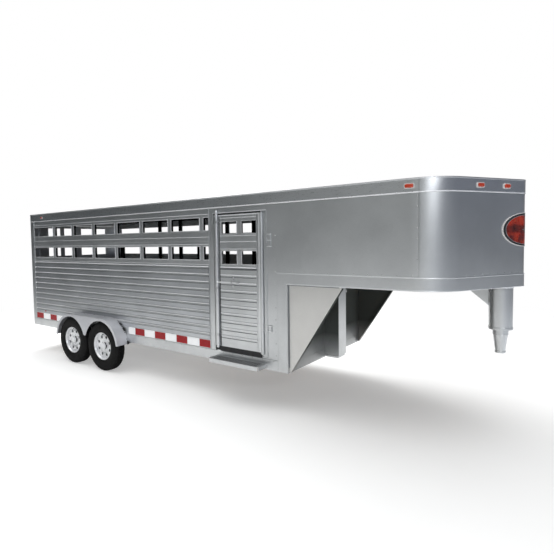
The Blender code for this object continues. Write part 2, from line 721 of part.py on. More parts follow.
GATE_AXIS = (-0.0200, 0.975)
GATE_KNUCKLES = ((0.800, 0.900), (1.420, 1.520), (2.020, 2.120))
GATE_TUBE = (0.660, 2.260)
GATE_LEAF = (-0.0035, 0.0365)
GATE_ROD = (-0.0240, -0.870)
GATE_WINDOWS = ((0.040, 0.325), (0.375, 0.660))
SLIDER_WINDOWS = ((-0.700, -0.440), (-0.360, -0.140))


def build_rear_gate():
    """Full-width swing gate: a sheeted half with openings, and a doorway for the slider."""
    low, high = 0.625, 2.362
    windows = [rectangle(span, row) for row in (LOWER_WINDOW, UPPER_WINDOW) for span in GATE_WINDOWS]
    doorway = rectangle((-0.820, -0.040), (0.700, 2.316))
    gate = plate("rear_gate", "X", at(GATE_LEAF[0]), at(GATE_LEAF[1]),
                 rectangle((-0.922, 0.922), (low, high)), doorway, *windows)
    bottoms = [SLAT_BOTTOM + i * SLAT_PITCH for i in range(SLAT_COUNT)]
    join(gate, *[box("slat", (at(GATE_LEAF[0]) - 0.0045, at(GATE_LEAF[0]) + 0.004), (0.055, 0.860),
                     (b + 0.008, b + SLAT_PITCH - 0.012)) for b in bottoms])
    join(gate, *[box("track", (at(GATE_LEAF[1]) - 0.004, at(0.066)), (-0.900, 0.900), (h, h + 0.022))
                 for h in (0.648, 2.338)])
    axis = (at(GATE_AXIS[0]), GATE_AXIS[1])
    edges = [GATE_TUBE[0]] + [v for span in GATE_KNUCKLES for v in span] + [GATE_TUBE[1]]
    spans = [(edges[i] + (0.001 if i else 0), edges[i + 1] - 0.001) for i in range(0, len(edges) - 1, 2)]
    for tube, (a, b) in zip(hinge_tube("tube", axis, spans, 0.0170, 0.0105), spans):
        join(gate, tube)
        middle = (a + b) / 2
        join(gate, box("strap", (at(-0.0120), at(-0.0015)), (0.860, 0.9650),
                       (middle - 0.055, middle + 0.055)))
    rod_at = (at(GATE_ROD[0]), GATE_ROD[1])
    for height in (0.760, 1.560, 2.180):
        guide = box("guide", (rod_at[0] - 0.0130, at(GATE_LEAF[0]) + 0.004),
                    (rod_at[1] - 0.021, rod_at[1] + 0.021), (height, height + 0.030))
        cut(guide, rod("bore", (*rod_at, height - 0.01), (*rod_at, height + 0.04), 0.0118))
        join(gate, guide)
    return finish(gate, "silver_paint", (*axis, 1.5))


def build_rear_gate_hinge():
    """Hinge pin fixed to the left rear post by three brackets."""
    axis = (at(GATE_AXIS[0]), GATE_AXIS[1])
    hinge = rod("rear_gate_hinge", (*axis, GATE_TUBE[0] - 0.010), (*axis, GATE_TUBE[1] + 0.010), 0.0092)
    for low, high in GATE_KNUCKLES:
        join(hinge, rod("knuckle", (*axis, low), (*axis, high), 0.0170))
        join(hinge, box("bracket", (at(-0.0110), at(0) - GAP), (0.978, 1.018), (low + 0.003, high - 0.003)))
    return finish(hinge, "bright_metal")


def build_rear_gate_lock():
    x, y = at(GATE_ROD[0]), GATE_ROD[1]
    lock = rod("rear_gate_lock", (x, y, 0.645), (x, y, 2.345), 0.0100)
    join(lock, box("handle", (x - 0.0045, x + 0.0045), (y + 0.002, y + 0.330), (1.450, 1.474)))
    return finish(lock, "bright_metal", (x, y, 1.5))


def build_rear_slider():
    """Half-width sliding panel between the gate's tracks, with its own lever latch."""
    windows = [rectangle(span, row) for row in (LOWER_WINDOW, UPPER_WINDOW) for span in SLIDER_WINDOWS]
    panel = plate("rear_slider", "X", at(0.0400), at(0.0600),
                  rectangle((-0.880, -0.010), (0.673, 2.335)), *windows)
    bottoms = [SLAT_BOTTOM + i * SLAT_PITCH for i in range(SLAT_COUNT)]
    join(panel, *[box("slat", (at(0.0370), at(0.0430)), (-0.800, -0.060),
                      (b + 0.008, b + SLAT_PITCH - 0.012)) for b in bottoms])
    latch = rod("rear_slider_latch", (at(0.0355), -0.790, 1.600), (at(0.0050), -0.790, 1.600), 0.0110)
    join(latch, box("lever", (at(0.0065), at(0.0155)), (-0.797, -0.640), (1.590, 1.610)))
    finish(panel, "silver_paint")
    finish(latch, "bright_metal", (at(0.0200), -0.790, 1.600))


# ---------------------------------------------------------------- centre gate


CENTRE_GATE_LUGS = (0.760, 1.960)


def build_centre_gate():
    """Divider gate: sheeted below, with bars above, on two lift-off hinge tubes."""
    x, half = at(CENTRE_GATE), 0.014
    openings = [rectangle((-0.860, 0.840), rows)
                for rows in ((1.480, 1.640), (1.690, 1.950), (2.000, 2.075))]
    gate = plate("centre_gate", "X", x - half, x + half,
                 rectangle((-0.930, 0.900), (0.680, 2.120)), *openings)
    for height in CENTRE_GATE_LUGS:
        low = height + 0.001
        tube = rod("tube", (x, 0.930, low), (x, 0.930, low + 0.100), 0.0160)
        cut(tube, rod("bore", (x, 0.930, low - 0.01), (x, 0.930, low + 0.110), 0.0102))
        join(tube, box("web", (x - 0.006, x + 0.006), (0.890, 0.9165), (low + 0.002, low + 0.098)))
        join(gate, tube)
    bolt_x, bolt_z = x + half + 0.015, 1.418
    for y in (-0.900, -0.800):
        guide = box("guide", (x + half - 0.003, x + half + 0.032), (y - 0.015, y + 0.015), (1.400, 1.436))
        cut(guide, rod("bore", (bolt_x, y - 0.03, bolt_z), (bolt_x, y + 0.03, bolt_z), 0.0100))
        join(gate, guide)
    latch = rod("centre_gate_latch", (bolt_x, -0.926, bolt_z), (bolt_x, -0.740, bolt_z), 0.0085)
    join(latch, rod("pull", (bolt_x, -0.850, bolt_z), (bolt_x + 0.045, -0.850, bolt_z), 0.0070))
    finish(gate, "silver_paint", (x, 0.930, 1.0))
    finish(latch, "bright_metal", (bolt_x, -0.850, bolt_z))


# ---------------------------------------------------------------- jack


def build_jack():
    """Square housing, sliding ram, drop leg with a foot, crank and plunger pin."""
    x = at(BOX_LENGTH + JACK_DEPTH / 2)
    bore, ram_half, wall = 0.062, 0.060, 0.008
    leg_half, pin_z, drop = 0.050, 0.560, 0.250
    housing = box("jack_housing", (at(BOX_LENGTH) + GAP, at(BOX_LENGTH + JACK_DEPTH)),
                  (-JACK_HALF, JACK_HALF), (0.512, 1.5057))
    cut(housing, box("bore", (x - bore, x + bore), (-bore, bore), (0.400, 1.300)))
    shaft_x, shaft_z = at(CRANK_AXIS[0]), CRANK_AXIS[1]
    cut(housing, rod("bearing", (shaft_x, 0.085, shaft_z), (shaft_x, 0.140, shaft_z), 0.0130))
    cut(housing, box("pin_slot", (x - 0.016, x + 0.016), (0.055, 0.150), (0.400, pin_z + 0.026)))

    ram = box("jack_ram", (x - ram_half, x + ram_half), (-ram_half, ram_half), (0.520, 1.220))
    inner = ram_half - wall
    cut(ram, box("bore", (x - inner, x + inner), (-inner, inner), (0.400, 1.205)))
    cut(ram, rod("pin_hole", (x, 0.045, pin_z), (x, 0.070, pin_z), 0.0100))

    leg = box("jack_drop_leg", (x - leg_half, x + leg_half), (-leg_half, leg_half), (0.490, 1.120))
    join(leg, box("foot", (x - 0.085, x + 0.085), (-0.100, 0.100), (0.482, 0.500)))
    inner = leg_half - wall
    cut(leg, box("bore", (x - inner, x + inner), (-inner, inner), (0.510, 1.200)))
    cut(leg, *[rod("pin_hole", (x, 0.035, z), (x, 0.060, z), 0.0100) for z in (pin_z, pin_z + drop)])

    pin = rod("jack_pin", (x, 0.0535, pin_z), (x, 0.136, pin_z), 0.0078)
    join(pin, rod("pull", (x - 0.022, 0.132, pin_z), (x + 0.022, 0.132, pin_z), 0.0055))

    crank = rod("jack_crank", (shaft_x, 0.090, shaft_z), (shaft_x, 0.158, shaft_z), 0.0110)
    join(crank, box("arm", (shaft_x - 0.013, shaft_x + 0.013), (0.150, 0.160),
                    (shaft_z - 0.015, shaft_z + 0.142)))
    join(crank, rod("grip", (shaft_x, 0.153, shaft_z + 0.129), (shaft_x, 0.262, shaft_z + 0.129), 0.0118))
    finish(housing, "silver_paint")
    finish(ram, "silver_paint", (x, 0, 0.520))
    finish(leg, "silver_paint", (x, 0, 0.482))
    finish(crank, "bright_metal", (shaft_x, 0.090, shaft_z))
    finish(pin, "bright_metal", (x, 0.0535, pin_z))


# ---------------------------------------------------------------- small fittings


def build_step():
    """Running-board step: a tread tray with a turned-down rim."""
    x = (at(4.615), at(5.380))
    back, front, corner = -HALF_WIDTH - GAP, -1.200, 0.030
    outline = [(x[0], back)] + arc((x[0] + corner, front + corner), corner, 180, 270, 5)
    outline += arc((x[1] - corner, front + corner), corner, 270, 360, 5) + [(x[1], back)]
    step = plate("step", "Z", 0.493, 0.541, outline)
    cut(step, box("under", (x[0] + 0.005, x[1] - 0.005), (front + 0.005, back - 0.012), (0.470, 0.536)))
    return finish(step, "silver_paint")


def build_lamp(name, place, side):
    """A rounded lens block on a small base; its own +Z points outward."""
    bm = bmesh.new()
    bmesh.ops.create_cube(bm, size=1.0, matrix=Matrix.Diagonal((0.098, 0.052, 0.020, 1.0)))
    upright = [e for e in bm.edges if abs(e.verts[0].co.z - e.verts[1].co.z) > 0.01]
    bmesh.ops.bevel(bm, geom=upright, offset=0.018, segments=3, affect="EDGES", profile=0.5)
    bmesh.ops.transform(bm, matrix=place @ Matrix.Translation((0, 0, 0.010 + GAP)), verts=bm.verts)
    lamp = mesh_object(name, bm)
    if side > 0:
        flipped = mirrored(lamp, name + "_left")
        bpy.data.objects.remove(lamp, do_unlink=True)
        flipped.name = name
        lamp = flipped
    return finish(lamp, "lens_orange")


def facing(x, y, z, normal):
    """A frame at a point whose Z is a level normal and whose X runs level along the surface."""
    normal = Vector(normal).normalized()
    along = Vector((0, 0, 1)).cross(normal)
    turn = Matrix((along, Vector((0, 0, 1)), normal)).transposed().to_4x4()
    return Matrix.Translation((x, y, z)) @ turn


def panel_point(across):
    """The point on the flat right nose panel, and its normal, at a distance right of the centreline."""
    sharp_tip = at(BODY_LENGTH + TIP_RADIUS * (1 / math.sin(NOSE_ANGLE) - 1))
    normal = (math.sin(NOSE_ANGLE), -math.cos(NOSE_ANGLE), 0)
    return (sharp_tip - across / math.tan(NOSE_ANGLE), -across), normal


def build_lamps():
    height = 2.490
    for side_name, side in (("right", -1), ("left", 1)):
        marker = facing(at(7.020), -HALF_WIDTH, height, (0, -1, 0))
        build_lamp(f"{side_name}_marker_lamp", marker, side)
        for label, across in (("outer", 0.578), ("inner", 0.264)):
            (x, y), normal = panel_point(across)
            build_lamp(f"{side_name}_{label}_nose_lamp", facing(x, y, height, normal), side)


def build_badge():
    """An oval plate bent round the nose tip."""
    inset = HALF_WIDTH - 1.0195
    reach, half_height, middle, thick = 0.350, 0.170, 2.068, 0.0038
    path = [Vector(p) for p in nose_path(inset, 6.0)]
    middle_index = len(path) // 2
    fine, lengths = [path[middle_index - 5]], [0.0]
    for point in path[middle_index - 4:middle_index + 6]:
        lengths.append(lengths[-1] + (point - fine[-1]).length)
        fine.append(point)
    centre = lengths[5]

    def on_path(distance):
        target = centre + distance
        index = max(i for i in range(len(lengths) - 1) if lengths[i] <= target)
        along = (fine[index + 1] - fine[index]).normalized()
        return fine[index] + along * (target - lengths[index]), Vector((along.y, -along.x))

    bends = [(length - centre) / reach for length in lengths[1:-1]]
    stations = sorted(bends + [-math.cos(math.pi * (i + 0.5) / 16) for i in range(16)])
    bm = bmesh.new()
    sections = []
    for unit in stations:
        point, normal = on_path(unit * reach)
        rise = half_height * math.sqrt(1 - unit * unit)
        section = []
        for lift, z in ((0.0006, -rise), (thick, -rise), (thick, rise), (0.0006, rise)):
            place = point + normal * lift
            section.append(bm.verts.new((place.x, place.y, middle + z)))
        sections.append(section)
    for first, second in zip(sections, sections[1:]):
        for i in range(4):
            j = (i + 1) % 4
            bm.faces.new((first[i], first[j], second[j], second[i]))
    bm.faces.new(sections[0])
    bm.faces.new(sections[-1][::-1])
    return finish(mesh_object("badge", bm), "badge_red", sharp=60)


clear_scene()
PARTS = new_collection("livestock_trailer")
MATERIALS = {name: principled(name) for name in COLOURS}

build_chassis()
build_floor()
build_rear_frame()
build_right_wall()
build_left_wall()
build_top_rail()
build_roof()
build_nose_sheet()
build_neck_frame()
build_neck_floor()
build_bulkhead()
build_gussets()
build_coupler()
build_running_gear()
build_side_door()
build_side_door_hinge()
build_side_door_lock()
build_rear_gate()
build_rear_gate_hinge()
build_rear_gate_lock()
build_rear_slider()
build_centre_gate()
build_jack()
build_step()
build_lamps()
build_badge()
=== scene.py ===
"""Looks of the gooseneck livestock trailer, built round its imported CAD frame."""

import json
import math

import bmesh
import bpy
from mathutils import Matrix, Vector


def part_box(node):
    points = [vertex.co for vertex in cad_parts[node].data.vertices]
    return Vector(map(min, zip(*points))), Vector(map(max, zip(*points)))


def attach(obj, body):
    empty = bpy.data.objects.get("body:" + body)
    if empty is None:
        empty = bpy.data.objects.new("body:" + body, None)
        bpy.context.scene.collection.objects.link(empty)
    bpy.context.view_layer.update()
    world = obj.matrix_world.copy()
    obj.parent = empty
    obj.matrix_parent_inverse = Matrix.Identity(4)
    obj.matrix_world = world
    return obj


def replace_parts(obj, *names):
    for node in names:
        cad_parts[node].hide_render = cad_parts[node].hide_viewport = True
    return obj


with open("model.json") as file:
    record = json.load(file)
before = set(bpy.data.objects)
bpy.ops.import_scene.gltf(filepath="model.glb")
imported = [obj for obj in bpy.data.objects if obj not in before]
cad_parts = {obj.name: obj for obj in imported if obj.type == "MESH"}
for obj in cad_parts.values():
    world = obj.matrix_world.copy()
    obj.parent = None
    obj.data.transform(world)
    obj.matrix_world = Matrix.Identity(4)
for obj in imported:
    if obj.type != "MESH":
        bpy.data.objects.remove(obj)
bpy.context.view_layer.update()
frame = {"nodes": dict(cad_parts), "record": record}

# ------------------------------------------------------------------ places, in metres

LEFT, RIGHT = 1, -1
SIDES = {"right": RIGHT, "left": LEFT}
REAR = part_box("chassis_frame")[0].x      # back face of the rear frame, station 0
WALL_FACE = 1.0155                       # outer face of the wall sheet, from the middle plane
DOOR_FACE = 1.0195                       # outer face of the side door and of the neck's side panels
HALF_WIDTH = 1.0235                      # outer face of the rails and the top band
SUNK = 0.0005                            # how far a fitting's back goes into the face it is on
BAND_LOW, BAND_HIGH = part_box("top_rail")[0].z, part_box("top_rail")[1].z
NECK_LOW, NECK_HIGH = 1.498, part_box("neck_frame")[1].z
ROOF_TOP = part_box("roof_sheet")[1].z
ROWS = ((1.767, 1.936), (2.148, 2.310))  # bottom and top of each row of openings


def at(station):
    """X of a station measured forward from the rear frame's back face."""
    return REAR + station


def proud(amount, face=WALL_FACE):
    """How far out a fitting starts and ends when it stands proud of a face by an amount."""
    return face - SUNK, face + amount


# spans of X, distance from the middle plane and Z, where the silver paint gets painted shade: inside the
# bay and under the neck
BAY = ((at(0.12), at(5.671)), (-1, 1.0028), (0.6045, 2.5455))
UNDER_NECK = ((at(5.672), at(7.2)), (0.1085, 0.9955), (-1, 1.4965))


# ------------------------------------------------------------------ materials


class Nodes:
    """Small helper to wire a procedural material."""

    def __init__(self, name, metallic=0.0, roughness=0.5, coat=0.0, specular=0.5):
        self.material = bpy.data.materials.new(name)
        self.material.use_nodes = True
        self.tree = self.material.node_tree
        self.shader = self.tree.nodes["Principled BSDF"]
        self.shader.inputs["Metallic"].default_value = metallic
        self.shader.inputs["Roughness"].default_value = roughness
        self.shader.inputs["Coat Weight"].default_value = coat
        self.shader.inputs["Coat Roughness"].default_value = 0.12
        self.shader.inputs["Specular IOR Level"].default_value = specular
        self.place = self.tree.nodes.new("ShaderNodeTexCoord").outputs["Object"]
        self.normal = None

    def new(self, kind, **values):
        node = self.tree.nodes.new(kind)
        for key, value in values.items():
            setattr(node, key, value)
        return node

    def link(self, a, b):
        self.tree.links.new(a, b)

    def stretched(self, scale, turn=(0, 0, 0)):
        mapping = self.new("ShaderNodeMapping")
        mapping.inputs["Scale"].default_value = scale
        mapping.inputs["Rotation"].default_value = turn
        self.link(self.place, mapping.inputs["Vector"])
        return mapping.outputs["Vector"]

    def noise(self, scale, detail=3.0, stretch=(1, 1, 1), rough=0.55):
        node = self.new("ShaderNodeTexNoise")
        node.inputs["Scale"].default_value = scale
        node.inputs["Detail"].default_value = detail
        node.inputs["Roughness"].default_value = rough
        self.link(self.stretched(stretch), node.inputs["Vector"])
        return node.outputs["Fac"]

    def cells(self, scale, stretch=(1, 1, 1), feature="F1", output="Distance"):
        node = self.new("ShaderNodeTexVoronoi", feature=feature)
        node.inputs["Scale"].default_value = scale
        self.link(self.stretched(stretch), node.inputs["Vector"])
        return node.outputs[output]

    def wave(self, scale, direction="X", distortion=0.0, profile="SIN", stretch=(1, 1, 1)):
        node = self.new("ShaderNodeTexWave", wave_type="BANDS", bands_direction=direction,
                        wave_profile=profile)
        node.inputs["Scale"].default_value = scale
        node.inputs["Distortion"].default_value = distortion
        self.link(self.stretched(stretch), node.inputs["Vector"])
        return node.outputs["Fac"]

    def remap(self, value, low, high, to_low=0.0, to_high=1.0):
        node = self.new("ShaderNodeMapRange")
        for key, number in zip(("From Min", "From Max", "To Min", "To Max"),
                               (low, high, to_low, to_high)):
            node.inputs[key].default_value = number
        self.link(value, node.inputs["Value"])
        return node.outputs["Result"]

    def mix(self, a, b, factor, blend="MIX"):
        node = self.new("ShaderNodeMix", data_type="RGBA", blend_type=blend)
        for socket, value in ((node.inputs[6], a), (node.inputs[7], b), (node.inputs[0], factor)):
            if isinstance(value, bpy.types.NodeSocket):
                self.link(value, socket)
            elif isinstance(value, tuple):
                socket.default_value = (*value, 1.0)
            else:
                socket.default_value = value
        return node.outputs[2]

    def maths(self, operation, a, b=0.0):
        node = self.new("ShaderNodeMath", operation=operation)
        for socket, value in zip(node.inputs, (a, b)):
            if isinstance(value, bpy.types.NodeSocket):
                self.link(value, socket)
            else:
                socket.default_value = value
        return node.outputs[0]

    def axes(self):
        """X, the distance from the middle plane, and Z."""
        split = self.new("ShaderNodeSeparateXYZ")
        self.link(self.place, split.inputs[0])
        return split.outputs["X"], self.maths("ABSOLUTE", split.outputs["Y"]), split.outputs["Z"]

    def within(self, spans):
        """1 where X, distance out and Z all lie in their spans, and 0 elsewhere."""
        mask = 1.0
        for value, (low, high) in zip(self.axes(), spans):
            mask = self.maths("MULTIPLY", mask, self.maths("GREATER_THAN", value, low))
            mask = self.maths("MULTIPLY", mask, self.maths("LESS_THAN", value, high))
        return mask

    def choose(self, factor, first, second):
        """The first shader where the factor is 0 and the second where it is 1."""
        node = self.new("ShaderNodeMixShader")
        for socket, value in zip(node.inputs, (factor, first, second)):
            self.link(value, socket)
        return node.outputs[0]

    def edges(self):
        geometry = self.new("ShaderNodeNewGeometry")
        return self.remap(geometry.outputs["Pointiness"], 0.52, 0.6)

    def colour(self, socket):
        self.link(socket, self.shader.inputs["Base Color"])

    def roughness(self, socket):
        self.link(socket, self.shader.inputs["Roughness"])

    def bump(self, height, distance, strength=1.0):
        node = self.new("ShaderNodeBump")
        node.inputs["Distance"].default_value = distance
        node.inputs["Strength"].default_value = strength
        self.link(height, node.inputs["Height"])
        if self.normal:
            self.link(self.normal, node.inputs["Normal"])
        self.normal = node.outputs["Normal"]
        self.link(self.normal, self.shader.inputs["Normal"])


# painted shade: a near-black for the inside of the bay and a dark grey for under the neck
INSIDE_SHADE_TONE, SHADE_TONE = (0.009, 0.0095, 0.01), (0.08, 0.088, 0.083)
DUST_TONE = (0.3, 0.28, 0.25)


def metal_paint(name, base, dark, metallic=0.92, rough=0.36, dust=0.1, brush=(1, 14, 14),
                painted_inside_shade=True):
    """Silver paint over sheet metal: flake, faint rolling lines and dust, with painted shade that makes it
    near-black and shineless inside the bay, and darker and shineless under the neck, most at the top.
    """
    m = Nodes(name, metallic=metallic, roughness=rough, coat=0.25)
    cloud = m.remap(m.noise(1.3, 4), 0.35, 0.68)
    brushed = m.noise(22, 4, brush)
    flake = m.cells(1400)
    tone = m.mix(dark, base, m.remap(m.maths("ADD", cloud, brushed), 0.55, 1.45))
    tone = m.mix(tone, tuple(min(1, c * 1.22) for c in base), m.remap(flake, 0.25, 0.75, 0.0, 0.35))
    height = m.axes()[2]
    low = m.remap(height, 0.45, 1.15, dust, 0.0)
    grime = m.maths("MULTIPLY", low, m.remap(m.noise(9, 6), 0.35, 0.7))
    tone = m.mix(tone, DUST_TONE, grime)
    inside = m.within(BAY) if painted_inside_shade else 0.0
    shaded = m.maths("MULTIPLY", m.within(UNDER_NECK), m.remap(height, 0.35, 0.8))
    m.colour(m.mix(m.mix(tone, SHADE_TONE, shaded), INSIDE_SHADE_TONE, inside))
    # where painted shade lies, the metal, coat and shine are taken away as well
    open_air = m.maths("SUBTRACT", 1.0, m.maths("MAXIMUM", inside, shaded))
    for socket, amount in (("Metallic", metallic), ("Coat Weight", 0.25), ("Specular IOR Level", 0.5)):
        m.link(m.maths("MULTIPLY", open_air, amount), m.shader.inputs[socket])
    m.roughness(m.maths("ADD", m.remap(brushed, 0.3, 0.7, rough - 0.05, rough + 0.06),
                        m.maths("MULTIPLY", grime, 0.5)))
    m.bump(flake, 0.00004, 0.4)
    m.bump(m.noise(0.9, 2), 0.004, 0.35)
    return m.material


def bare_metal(name, base, rough=0.25, scratch=0.08):
    """Zinc-plated or polished steel with fine scratches and darker hollows."""
    m = Nodes(name, metallic=1.0, roughness=rough)
    scratches = m.noise(60, 5, (1, 9, 3))
    spots = m.remap(m.cells(150, output="Distance"), 0.1, 0.9)
    tone = m.mix(tuple(c * 0.72 for c in base), base, m.remap(scratches, 0.3, 0.62))
    tone = m.mix(tone, tuple(c * 0.85 for c in base), m.maths("MULTIPLY", spots, 0.35))
    m.colour(tone)
    m.roughness(m.remap(scratches, 0.3, 0.7, rough - scratch, rough + scratch))
    m.bump(scratches, 0.0001, 0.5)
    return m.material


def dark_steel():
    m = Nodes("dark_steel_look", metallic=0.5, roughness=0.5)
    cast = m.noise(160, 6)
    rust = m.remap(m.noise(14, 6), 0.6, 0.74, 0, 0.4)
    tone = m.mix((0.025, 0.026, 0.028), (0.075, 0.077, 0.08), cast)
    tone = m.mix(tone, (0.16, 0.09, 0.05), rust)
    m.colour(m.mix(tone, (0.32, 0.32, 0.33), m.maths("MULTIPLY", m.edges(), 0.6)))
    m.roughness(m.remap(cast, 0.3, 0.7, 0.42, 0.62))
    m.bump(cast, 0.0004, 0.5)
    return m.material


def rubber():
    m = Nodes("tyre_look", roughness=0.78, specular=0.18)
    grain = m.noise(420, 4)
    scuff = m.remap(m.noise(18, 5), 0.45, 0.75)
    tone = m.mix((0.003, 0.003, 0.0035), (0.01, 0.01, 0.0105), grain)
    m.colour(m.mix(tone, (0.022, 0.021, 0.019), m.maths("MULTIPLY", scuff, 0.4)))
    m.roughness(m.remap(scuff, 0, 1, 0.62, 0.85))
    m.bump(grain, 0.0003, 0.5)
    return m.material


def timber():
    m = Nodes("timber_look", roughness=0.8, specular=0.2)
    grain = m.wave(26, "Y", 5.0, stretch=(0.06, 1, 1))
    fibre = m.noise(70, 5, (0.06, 1, 1))
    tone = m.mix((0.2, 0.115, 0.055), (0.42, 0.27, 0.14), grain)
    tone = m.mix(tone, (0.1, 0.06, 0.035), m.remap(fibre, 0.55, 0.8, 0, 0.7))
    board = m.cells(0.5, (0.2, 12, 1), output="Color")
    m.colour(m.mix(tone, board, 0.12, "OVERLAY"))
    m.bump(fibre, 0.0008, 0.6)
    return m.material


def lens(name, deep, bright):
    """Moulded plastic lens with fine prisms behind a clear face."""
    m = Nodes(name, roughness=0.14, coat=0.7)
    prisms = m.wave(95, "Z", profile="TRI")
    across = m.wave(95, "X", profile="TRI")
    both = m.maths("MULTIPLY", prisms, across)
    m.colour(m.mix(deep, bright, m.remap(both, 0.0, 0.75)))
    m.shader.inputs["Subsurface Weight"].default_value = 0.25
    m.shader.inputs["Subsurface Radius"].default_value = (0.01, 0.004, 0.002)
    m.bump(both, 0.0006, 0.5)
    return m.material


def tape(name, dark, light, glow=0.0):
    """Retro-reflective tape: a fine honeycomb of prisms in a glossy film."""
    m = Nodes(name, roughness=0.42, coat=0.12, specular=0.3)
    honey = m.remap(m.cells(260, feature="DISTANCE_TO_EDGE"), 0.02, 0.09)
    tone = m.mix(dark, light, honey)
    m.colour(m.mix(tone, tuple(c * 0.85 for c in light), m.remap(m.noise(6, 4), 0.4, 0.8, 0, 0.5)))
    # painted light: the tape's colour is also given off as a glow
    m.link(tone, m.shader.inputs["Emission Color"])
    m.shader.inputs["Emission Strength"].default_value = glow
    m.bump(honey, 0.0001, 0.6)
    return m.material


def gloss_plastic(name, dark, light, rough=0.4):
    m = Nodes(name, roughness=rough, coat=0.2)
    grain = m.noise(260, 4)
    m.colour(m.mix(dark, light, m.remap(grain, 0.35, 0.7)))
    m.roughness(m.remap(m.noise(30, 4), 0.3, 0.7, rough - 0.08, rough + 0.1))
    m.bump(grain, 0.0002, 0.5)
    return m.material


def enamel(name, dark, base, fleck):
    """Baked enamel: mottled red, darker across the middle, under a clear coat."""
    m = Nodes(name, roughness=0.3, coat=0.3)
    cloud = m.noise(9, 5)
    tone = m.mix(dark, base, m.remap(cloud, 0.38, 0.62))
    tone = m.mix(tone, fleck, m.remap(m.noise(30, 4, (1, 1, 2)), 0.58, 0.75, 0.0, 0.6))
    from_middle = m.maths("ABSOLUTE", m.maths("SUBTRACT", m.axes()[2], 2.075))
    band = m.remap(from_middle, 0.022, 0.05, 0.65, 0.0)
    m.colour(m.mix(tone, tuple(c * 0.3 for c in dark), band))
    m.roughness(m.remap(m.noise(40, 4), 0.3, 0.7, 0.22, 0.4))
    m.bump(cloud, 0.0006, 0.3)
    return m.material


SILVER = metal_paint("silver_paint_look", (0.66, 0.675, 0.685), (0.53, 0.545, 0.555))
# painted shade: a darker copy of the silver paint for parts up high
UPPER_SHADED = metal_paint("silver_upper_shaded_look", (0.5, 0.51, 0.53), (0.4, 0.41, 0.43), brush=(14, 14, 1))
BRIGHT = bare_metal("bright_metal_look", (0.72, 0.73, 0.74))
# painted highlight: a lighter copy of the silver paint for rods, bolts and small fittings
LIT_TRIM = metal_paint("lit_trim_look", (0.74, 0.75, 0.765), (0.64, 0.65, 0.665), dust=0.0,
                   brush=(14, 14, 1))
# painted shade: a darker copy of the silver paint for the pressed slats
SHADED_SLATS = metal_paint("silver_slat_shaded_look", (0.535, 0.553, 0.577), (0.42, 0.434, 0.453), dust=0.04)
# painted highlight: a near-white copy of the silver paint for edges, lips, trims and beads
EDGE = metal_paint("painted_highlight_edge_look", (0.92, 0.93, 0.95), (0.82, 0.83, 0.85), 0.55, 0.38, 0.0)
BAND = metal_paint("silver_band_look", (0.7, 0.715, 0.73), (0.59, 0.605, 0.62), rough=0.31, dust=0.0)
FENDER = metal_paint("silver_fender_look", (0.62, 0.63, 0.66), (0.5, 0.51, 0.54), 0.62, 0.44, 0.04,
                     brush=(9, 9, 9))
# the silver paint without the painted shade inside the bay
DOOR_PAINT = metal_paint("silver_door_look", (0.66, 0.675, 0.685), (0.53, 0.545, 0.555),
                         painted_inside_shade=False)
# painted light: a lighter, warmer copy of the silver paint for the gussets
LIT_GUSSET = metal_paint("silver_gusset_lit_look", (0.725, 0.718, 0.698), (0.615, 0.608, 0.592), 0.84, 0.42)
STEEL = dark_steel()
RUBBER = rubber()
TIMBER = timber()
WHEEL = metal_paint("wheel_paint_look", (0.9, 0.91, 0.93), (0.8, 0.81, 0.83), 0.4, 0.3, 0.0)
AMBER = lens("amber_lens_look", (0.42, 0.03, 0.01), (0.72, 0.08, 0.022))
RED_LENS = lens("red_lens_look", (0.3, 0.005, 0.005), (0.75, 0.02, 0.015))
TAPE_RED = tape("tape_red_look", (0.24, 0.002, 0.004), (0.42, 0.004, 0.008))
# the white tape glows a little: painted light
TAPE_WHITE = tape("tape_white_look", (0.74, 0.75, 0.77), (0.94, 0.95, 0.96), 0.22)
BADGE = enamel("badge_red_look", (0.085, 0.006, 0.005), (0.42, 0.03, 0.01), (0.62, 0.14, 0.03))
BLACK = gloss_plastic("black_rubber_look", (0.01, 0.01, 0.011), (0.022, 0.022, 0.024), 0.6)
# painted shadow: a dark grey for strips in grooves and gaps
GROOVE_SHADOW = metal_paint("painted_groove_shadow_look", (0.26, 0.27, 0.28), (0.18, 0.19, 0.2), 0.8, 0.5, 0.04)
BEZEL = gloss_plastic("bezel_look", (0.62, 0.6, 0.58), (0.82, 0.8, 0.78), 0.3)

SLOT_LOOKS = {"silver_paint": SILVER, "bright_metal": BRIGHT, "dark_steel": STEEL, "tyre": RUBBER,
              "timber": TIMBER, "wheel_paint": WHEEL, "lens_orange": AMBER, "badge_red": BADGE}

# the door lock, the rear gate's lock and hinge and the gussets take lighter copies of the paint: painted
# highlight and painted light
OWN_LOOKS = {"side_door": DOOR_PAINT, "side_door_lock": EDGE, "side_door_hinge": SILVER,
             "rear_gate_lock": LIT_TRIM, "rear_gate_hinge": LIT_TRIM, "top_rail": BAND,
             "right_gusset": LIT_GUSSET, "left_gusset": LIT_GUSSET, "right_fender": FENDER, "left_fender": FENDER}

FINISHES = {SILVER: "silver_paint", UPPER_SHADED: "silver_paint", SHADED_SLATS: "silver_paint", RUBBER: "tyre",
            BRIGHT: "bright_metal", LIT_TRIM: "bright_metal", EDGE: "bright_metal", STEEL: "dark_steel",
            WHEEL: "wheel_paint", AMBER: "lens_orange", RED_LENS: "lens_orange", BADGE: "badge_red"}

# ------------------------------------------------------------------ CAD nodes


